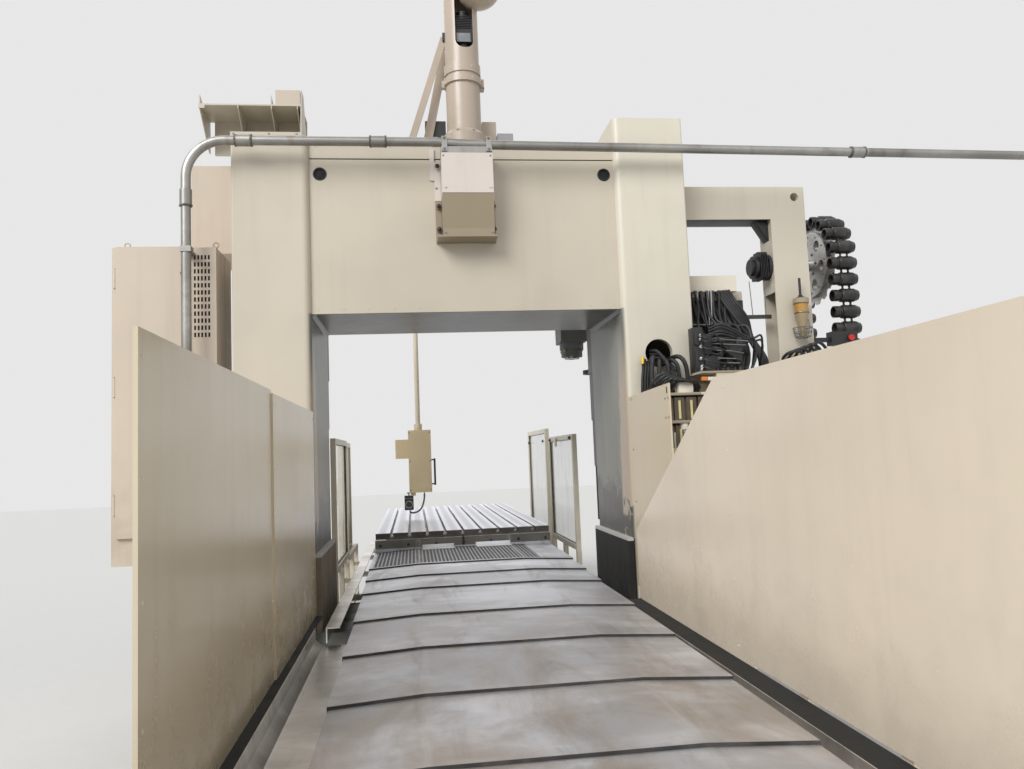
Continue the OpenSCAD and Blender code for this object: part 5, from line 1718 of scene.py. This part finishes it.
@dataclass
class ToolChanger:
    """Frame details, chain drive, manifold and hoses."""

    post_x: float = 2243
    motor_y: float = 350
    motor_z: float = 2800
    motor_radius: float = 80
    motor_angles: tuple[float, ...] = (0.78, 2.36, 3.93, 5.5)
    underside: Block = ((1519, 262, 3139), (2242, 438, 3143), 0.5)
    whips: tuple[tuple[Place, Place], ...] = (((2105, 352, 2440), (2092, 352, 2700)),
                                              ((2205, 352, 2440), (2212, 352, 2640)))
    fitting_z: float = 2610
    stack: tuple[Block, ...] = (((1535, 340, 2060), (2030, 419, 2560), 6),
                                ((1560, 300, 2120), (1720, 342, 2300), 8),
                                ((1750, 310, 2180), (1980, 342, 2420), 8),
                                ((1590, 296, 2350), (1700, 342, 2520), 8))
    hose_top: float = 2606
    hose_end: float = 1990
    plug_rows: tuple[float, ...] = (2236, 2210, 2162, 2083, 2030)
    pipe_rows: tuple[float, ...] = (2212, 2176, 2131, 2078, 2047)
    rod_places: tuple[Pair, ...] = ((1636, 205), (1722, 215), (1738, 205))
    strainer: Profile = ((0, 0), (34, 0), (38, 8), (38, 90), (26, 104), (0, 104))

    def drive(self) -> None:
        """Make the beam's underside and gusset, and the details of the chain's gear motor."""
        x, y, z = self.post_x, self.motor_y, self.motor_z
        blocks("beam_underside", Look.DARK, [self.underside])
        Form().prism([(x, 3137), (x - 93, 3137), (x, 2990)], 1, 300, 400, 2).piece("beam_gusset", Look.DARK)
        slats("gear_motor_fins", [(x - 40, y, z)], (-12, 0, 0), 5, (4, 176, 176))
        bolts("gear_motor_bolts", around((x - 23, y, z), self.motor_radius, self.motor_angles, 0), LEFT, 8, 8)
        tubes("whip_rods", self.whips, 3, Look.BOLT)

    def stack_hoses(self) -> None:
        """Make the fittings, the valve stack and the hoses that hang before it."""
        feet = [(1600 + 36 * i, 290 + 12 * (i % 3), self.fitting_z) for i in range(9)]
        turned("hose_fittings", Look.BOLT, feet, DOWN,
               [(0, 0), (17, 0), (17, 16), (14, 20), (14, 44), (0, 44)], 6)
        blocks("valve_stack", Look.DARK, self.stack)
        tubes("stack_hoses", [
            curve([(1800 + 18 * i, 250 - 8 * i, self.hose_top), (1835 + 16 * i, 190 - 10 * i, 2500),
                   (1890 + 20 * i, 150, 2390), (1960 + 14 * i, 140 + 12 * i, 2260),
                   (2040 + 12 * i, 150, 2110), (2050 + 14 * i, 170, self.hose_end)], 7)
            for i in range(5)], 13)
        lines = []
        for i in range(12):
            z, swing = 2090 + 18 * ((i * 5) % 12), (i * 7) % 5
            lines.append(curve([(1590, -90, z), (1640 + 10 * swing, -130, z + 8 * (swing - 2)),
                                (1700 + 52 * swing, -100 + 20 * swing, z + 60 - 30 * swing),
                                (1760 + 58 * swing, -20, z - 40 - 16 * (i % 3)),
                                (1780 + 60 * swing, 110, self.hose_end)]))
        tubes("stack_lines", lines, 7.5, sides=8)

    def stack_pipes(self) -> None:
        """Make the lines from the valve's plugs, the pipes and rods, and the blocks among them."""
        tubes("plug_lines", [
            curve([(1504, -172, z), (1520 + 6 * i, -205, z - 26), (1590 + 22 * i, -190, z - 14 * i),
                   (1700 + 30 * i, -120, 2110 - 22 * i), (1790 + 20 * i, -40, self.hose_end)])
            for i, z in enumerate(self.plug_rows)], 6, sides=8)
        tubes("stack_pipes", [
            [(1610, -150 - 8 * i, z), (1660 + 22 * i, -160 - 8 * i, z - 8),
             (1860 - 18 * i, -90, z - 14 + 9 * (i % 2))]
            for i, z in enumerate(self.pipe_rows)], 4, Look.BOLT, sides=8)
        tubes("stack_drops", [
            curve([(1620 + 45 * i, 215, self.hose_top), (1630 + 40 * i, 180, 2480 - 25 * i),
                   (1600 + 70 * i, 120, 2330), (1660 + 60 * i, 60, 2180)]) for i in range(6)], 9, sides=8)
        rods = [[(x, y, self.hose_top), (x - 6, y, 2330)] for x, y in self.rod_places]
        tubes("stack_rods", rods + [[(1560, 205, 2362), (1790, 205, 2356)]], 8, Look.BOLT, sides=8)
        form = Form().box((1700, -100, 2040), (1812, 10, 2170), 6).box((1640, -60, 2190), (1760, 60, 2330), 6)
        form.lathe((1800, -40, 2230), DOWN, self.strainer, 24).piece("stack_blocks", Look.DARK)

    def build(self) -> None:
        """Make the tool changer's small pieces."""
        self.drive()
        self.stack_hoses()
        self.stack_pipes()
        tubes("post_hoses", [
            curve([(x, 300 - 10 * i, 2070), (x + 30, 210 - 12 * i, 2140 + 14 * i),
                   (x + 110, 180, 2150 + 12 * i), (x + 190, 210, 2090), (x + 230, 280, 2060)], 7)
            for i, x in enumerate(range(2250, 2427, 44))], 11)


@dataclass
class Lubricator:
    """Wire basket, rod and fitting round the bowl."""

    x: float = 2398
    y: float = 188
    hoops: tuple[Pair, ...] = ((2322, 66), (2290, 60), (2255, 52))
    bottom: Pair = (2246, 20)
    cap_z: float = 2534
    cap: Profile = (
        (0, 0), (34, 0), (34, 8), (16, 12), (16, 24), (9, 28), (9, 150), (0, 150))
    seals: tuple[Pair, ...] = ((2430, 49), (2500, 50))

    def build(self) -> None:
        """Make the bowl's guard and holder."""
        x, y = self.x, self.y
        wires = [around((x, y, z), radius, turns(24, closed=True)) for z, radius in self.hoops]
        for angle in turns(10):
            wires.append([around((x, y, z), radius, (angle,))[0] for z, radius in (*self.hoops, self.bottom)])
        wires.append([(x + 40, y + 50, 2500), (x + 62, y + 40, 2420), (x + 64, y + 10, 2322)])
        tubes("bowl_basket", wires, 2.6, Look.BOLT, sides=6)
        turned("bowl_cap", Look.DARK, [(x, y, self.cap_z)], UP, self.cap, 20)
        form = Form()
        for z, radius in self.seals:
            form.ring((x, y, z), UP, radius, 5)
        form.piece("bowl_rings", Look.BOLT)


@dataclass
class ToolStore:
    """Sprocket bolts, pot rims and drawbar ends of the chain."""

    x: float = 2984
    y: float = 965
    high: float = 2958
    radius: float = 348
    pitch: float = 129
    run: int = 14
    arc: int = 17
    pot_half: float = 103
    rim: Profile = ((35.2, -2), (43, -2), (46, 0), (46, 5), (36, 5))
    drawbar: Profile = ((0, 0), (20, 0), (20, 3), (12, 5), (0, 5))

    @property
    def low(self) -> float:
        """Height of the lower sprocket."""
        return self.high - self.run * self.pitch

    def centres(self) -> list[Pair]:
        """Places of the pots round the chain.

        Returns:
            The (y, z) of each pot.
        """
        found = [(self.y - self.radius, self.high - (i + 0.5) * self.pitch) for i in range(self.run)]
        found += [(self.y + self.radius, self.high - i * self.pitch) for i in range(1, self.run)]
        for angle in turns(self.arc)[:(self.arc + 1) // 2]:
            y, rise = self.y + self.radius * math.cos(angle), self.radius * math.sin(angle)
            found += [(y, self.high + rise), (y, self.low - rise)]
        return found

    def wheel_bolts(self, name: str, depth: float, radius: float, count: int, size: float,
                    height: float) -> None:
        """Make a circle of screw heads on each sprocket.

        Args:
            name: the piece's name.
            depth: how far before the chain's middle they sit.
            radius: the circle's radius.
            count: heads on each sprocket.
            size: a head's radius.
            height: a head's height.
        """
        points = [p for z in (self.high, self.low)
                  for p in around((self.x - depth, self.y, z), radius, turns(count), 0)]
        bolts(name, points, LEFT, size, height)

    def build(self) -> None:
        """Make the store's small pieces."""
        centres = self.centres()
        turned("pot_rims", Look.POT, [(self.x - self.pot_half, y, z) for y, z in centres], RIGHT,
               self.rim, 20)
        turned("pot_drawbars", Look.DARK, [(self.x + self.pot_half, y, z) for y, z in centres], RIGHT,
               self.drawbar, 12)
        self.wheel_bolts("sprocket_bolts", 83, 235, 12, 8, 6)
        self.wheel_bolts("hub_bolts", 85, 90, 6, 9, 8)


@dataclass
class Windows:
    """Seals, knobs and rollers of the window frames and the sliding door."""

    frames: tuple[tuple[float, ...], ...] = ((-1020, 1180, 2300, 640, 1680), (1020, 1800, 3080, 640, 1660),
                                             (1020, 3260, 4600, 640, 1760))
    margin: float = 47
    pane_half: float = 5
    knob_face: float = 999.5
    grip_x: float = -1128
    grip_y: float = 2323
    grip_z: Pair = (1120, 1280)

    def build(self) -> None:
        """Make the frames' small pieces."""
        seals = []
        for x, y0, y1, z0, z1 in self.frames:
            near, far, low, high = y0 + self.margin, y1 - self.margin, z0 + self.margin, z1 - self.margin
            path = ((near, low), (far, low), (far, high), (near, high), (near, low))
            seals += [[(x + side * self.pane_half, y, z) for y, z in path] for side in SIDES]
        tubes("window_seals", seals, 4, sides=6)
        blocks("window_switch", Look.WINDOW, [((985, 2570, 1560), (self.knob_face, 2640, 1640), 3)])
        bolts("window_knobs", grid((self.knob_face,), (1900, 2950, 3400, 4450), (1630,)), LEFT, 12, 14,
              Look.PLASTIC, sides=16)
        x, y, (low, high) = self.grip_x, self.grip_y, self.grip_z
        form = Form().rod((x, y, low), (x, y, high), 9)
        for z in (low + 10, high - 10):
            form.rod((x, y, z), (x + 9, y, z), 7)
        form.piece("door_grip", Look.PLASTIC, "sliding_door")


@dataclass
class Pendant:
    """Screen, keys, lamps and cables of the hanging control box."""

    body: str = "pendant_box"
    back: float = 2880
    face: float = 3120
    screen_x: Pair = (-415, -254)
    screen_z: Pair = (1580, 1710)
    key_x: float = -405
    key_top: float = 1540
    key_pitch: float = 24
    knob_z: float = 1250
    knob: Profile = ((0, 0), (16, 0), (16, 6), (12, 8), (12, 20), (0, 21))
    stop_ring: Profile = ((16, 0), (29, 0), (29, 2), (16, 2))
    dial_ring: Profile = ((31, -0.5), (36, -0.5), (36, 2), (31, 2))
    grip_x: float = -190
    grip_y: float = 2900
    grip_rows: tuple[float, ...] = (1240, 1480)
    route: tuple[Place, ...] = (
        (-300, 3010, 1160), (-300, 3010, 1120), (-305, 3008, 1080), (-315, 3005, 1040), (-330, 3002, 1005),
        (-350, 3000, 980), (-375, 3000, 965), (-400, 3000, 958), (-425, 3002, 955), (-442, 3008, 962),
        (-450, 3010, 974), (-450, 3010, 984.9))
    wire: float = 5.6
    coil_radius: float = 7.6
    coil_turns: int = 34
    coil_steps: int = 14
    coil_ease: float = 22.0

    def build(self) -> None:
        """Make the pendant's small pieces and the coiled cord."""
        body, y = self.body, self.face
        (left, right), (low, high) = self.screen_x, self.screen_z
        blocks("pendant_screen", Look.SCREEN, [((left, y - 12, low), (right, y - 8, high), 2)], body)
        slats("pendant_keys", [(self.key_x, y - 8, self.key_top - self.key_pitch * i) for i in range(4)],
              (22, 0, 0), 7, (15, 8, 15), Look.IVORY, body)
        slats("pendant_soft_keys", [(self.key_x, y - 8, self.key_top + 25)], (26, 0, 0), 6, (18, 7, 10),
              Look.GREY, body)
        turned("pendant_switches", Look.PLASTIC, [(x, y - 0.3, self.knob_z) for x in (-400, -350)], FRONT,
               self.knob, 20, body)
        turned("pendant_stop_ring", Look.YELLOW, [(-280, y + 0.1, self.knob_z)], FRONT, self.stop_ring, 28,
               body)
        bolts("pendant_rear_screws", grid((-435, -234), (self.back,), (1185, 1470, 1755)), REAR, 5, 2,
              body=body)
        form = Form()
        for start, radius in ((-215, 6), (-222.2, 7)):
            for z in self.grip_rows:
                form.rod((start, self.grip_y, z), (self.grip_x, self.grip_y, z), radius)
        low, high = self.grip_rows
        form.rod((self.grip_x, self.grip_y, low - 12), (self.grip_x, self.grip_y, high + 12), 10)
        form.piece("pendant_grip", Look.PLASTIC, body)
        slats("hand_unit_keys", [(-487, 2983.5, 1100)], (16, 0, 0), 5, (10, 5, 10), Look.GREY, body)
        turned("dial_ring", Look.SCREW, [(-455, 2985, 1040)], REAR, self.dial_ring, 32, body)
        self.cord()

    def coil(self) -> list[Vector]:
        """Wind the cord round the CAD cord's line, narrowing to nothing at both ends.

        Returns:
            The wire's points.
        """
        line = curve([Vector(p) for p in self.route], 10)
        lengths = [0.0]
        for a, b in zip(line, line[1:]):
            lengths.append(lengths[-1] + (b - a).length)
        total, count, side = lengths[-1], self.coil_turns * self.coil_steps, Vector((0, 1, 0))
        points = []
        for i in range(count + 1):
            s = total * i / count
            j = min(max(k for k in range(len(lengths)) if lengths[k] <= s + 1e-9), len(line) - 2)
            share = (s - lengths[j]) / max(1e-9, lengths[j + 1] - lengths[j])
            up = (line[j + 1] - line[j]).normalized().cross(side).normalized()
            ease = min(1.0, s / self.coil_ease, (total - s) / self.coil_ease)
            angle = 2 * math.pi * i / self.coil_steps
            points.append(line[j].lerp(line[j + 1], min(1.0, share))
                          + (side * math.cos(angle) + up * math.sin(angle)) * self.coil_radius * ease)
        return points

    def cord(self) -> None:
        """Make the hand unit's coiled cord in the CAD cord's place."""
        points = self.coil()
        length = sum((b - a).length for a, b in zip(points, points[1:]))
        coil = tubes("coiled_cord", [points], self.wire / 2, body=self.body, sides=8)
        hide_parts("hand_cord")
        tuple(vec(points[0]))
        [tuple(vec(p)) for p in points]


@dataclass
class Head:
    """Saddle, ram, spindle nose and tool change arm."""

    x: float = 1003
    y: float = 1650
    saddle_face: float = 1830
    cover_face: float = 1842
    nozzle_off: float = 78
    nozzle: Profile = ((0, 0), (9, 0), (9, 10), (5, 22), (0, 22))
    nose_radius: float = 80
    nose_z: float = 2328
    arm_x: float = 1340
    arm_y: float = 1986
    reach: float = 475.7
    hub_radius: float = 60
    hub_z: float = 2250

    def build(self) -> None:
        """Make the head's small pieces."""
        bolts("saddle_front_bolts", grid((790, 1216), (self.saddle_face,), range(2640, 3521, 220)), FRONT,
              11, 9, body="saddle")
        cover = ((800, self.saddle_face + 0.2, 2660), (1206, self.cover_face, 3500), 4)
        blocks("saddle_front_cover", Look.HEAD, [cover], "saddle")
        bolts("saddle_cover_screws", grid((820, 1186), (self.cover_face,), (2700, 2960, 3220, 3460)),
              FRONT, 6, 4, body="saddle")
        feet = [(self.x + across * self.nozzle_off, self.y + along * self.nozzle_off, 2389)
                for across in SIDES for along in SIDES]
        turned("coolant_nozzles", Look.BRASS, feet, DOWN, self.nozzle, 16, "ram")
        bolts("nose_bolts", around((self.x, self.y, self.nose_z), self.nose_radius, turns(8)), DOWN, 6, 4,
              body="ram")
        slats("ram_motor_fins", [(self.x, self.y - 106, 3790)], (0, 0, 14), 18, (110, 10, 5), body="ram")
        plates = []
        for side in SIDES:
            near, far = sorted(self.arm_y + side * (self.reach - inset) for inset in (8, 60))
            plates.append(((self.arm_x - 30, near, 2291), (self.arm_x + 30, far, 2296), 1))
        blocks("arm_finger_plates", Look.SCREW, plates, "change_arm")
        bolts("arm_hub_bolts", around((self.arm_x, self.arm_y, self.hub_z), self.hub_radius, turns(6)), DOWN,
              7, 5, body="change_arm")


@dataclass
class Studio:
    """Camera of the photo, soft lamps and a pale floor."""

    spot: Place = (-395.5, -5243.4, 1500.0)
    yaw: float = 0.12417
    pitch: float = 0.08646
    roll: float = -0.03976
    focal: float = 806.39
    width: int = 1024
    sensor: float = 36.0
    reach: float = 200.0
    ambient: float = 0.32
    shine: float = 0.80
    lamps: tuple[tuple[str, Place, float, float], ...] = (
        ("key", (-6300, -7400, 6600), 0.55, 2.68), ("front", (400, -9000, 4600), 0.8, 0.28),
        ("fill", (7600, -4600, 5600), 0.8, 0.19), ("far", (-1500, 6500, 8800), 0.9, 0.80))
    floor_half: float = 30000
    floor_paint: Moulded = Moulded("floor_paint", (0.64, 0.64, 0.63), 0.85, dust=(0.65, 0.65, 0.64),
                                   dusty=0.1, grain=40.0, relief=0.0, lift=1.02)

    def camera(self) -> None:
        """Place the camera at the photo's viewing angle."""
        level = math.cos(self.pitch)
        forward = Vector((math.sin(self.yaw) * level, math.cos(self.yaw) * level, math.sin(self.pitch)))
        right = Vector((math.cos(self.yaw), -math.sin(self.yaw), 0.0))
        up = right.cross(forward)
        tilted_right = math.cos(self.roll) * right + math.sin(self.roll) * up
        tilted_up = -math.sin(self.roll) * right + math.cos(self.roll) * up
        data = bpy.data.cameras.new("camera")
        data.sensor_width = self.sensor
        data.lens = self.focal * self.sensor / self.width
        data.clip_end = self.reach
        obj = bpy.data.objects.new("camera", data)
        turn = Matrix((tilted_right, tilted_up, -forward)).transposed().to_4x4()
        obj.matrix_world = Matrix.Translation(vec(self.spot)) @ turn
        bpy.context.scene.collection.objects.link(obj)
        bpy.context.scene.camera = obj

    def lamp(self, name: str, spot: Point, soft: float, power: float) -> None:
        """Make one far lamp whose parallel light comes towards the origin.

        Args:
            name: its name.
            spot: where its light comes from.
            soft: its angle in radians.
            power: its strength.
        """
        data = bpy.data.lights.new(name, "SUN")
        data.angle = soft
        data.energy = power
        obj = bpy.data.objects.new(name, data)
        obj.matrix_world = Matrix.Translation(vec(spot)) @ turn_to(spot)
        bpy.context.scene.collection.objects.link(obj)

    def build(self) -> None:
        """Set up camera, light and floor."""
        self.camera()
        scene = bpy.context.scene
        scene.view_settings.view_transform = "Standard"
        world = bpy.data.worlds.new("studio")
        scene.world = world
        world.use_nodes = True
        back = world.node_tree.nodes["Background"]
        back.inputs["Color"].default_value = (1.0, 1.0, 1.0, 1.0)
        g = Graph(world.node_tree)
        camera, glossy, through = (g.node("ShaderNodeLightPath", out=f"Is {ray} Ray")
                                   for ray in ("Camera", "Glossy", "Transmission"))
        seen = camera.most(glossy).most(through)
        strength = seen * (self.shine - self.ambient) + self.ambient
        world.node_tree.links.new(strength.socket, back.inputs["Strength"])
        for lamp in self.lamps:
            self.lamp(*lamp)
        mesh = bpy.data.meshes.new("floor")
        half = self.floor_half
        corners = ((-half, -half), (half, -half), (half, half), (-half, half))
        mesh.from_pydata([vec((x, y, 0)) for x, y in corners], [], [(0, 1, 2, 3)])
        mesh.materials.append(self.floor_paint.material())
        floor = bpy.data.objects.new("floor", mesh)
        scene.collection.objects.link(floor)
        floor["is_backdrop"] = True


def bounds_report() -> None:
    """List the corners of the CAD box and of the dressed machine's box; the lists are not kept."""
    [[list(corner) for corner in box] for box in (cad_box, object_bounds())]


def main() -> None:
    """Build everything in order."""
    for part in (Studio(), Dressing(), WayCovers(), Table(), Portal(), Mast(), Conduit(), Guards(),
                 ValveCabinet(), Cabinet(), ToolChanger(), Lubricator(), ToolStore(), Windows(), Pendant(),
                 Head()):
        log.info("building %s", type(part).__name__)
        part.build()


if __name__ == "__main__":
    main()
    bounds_report()
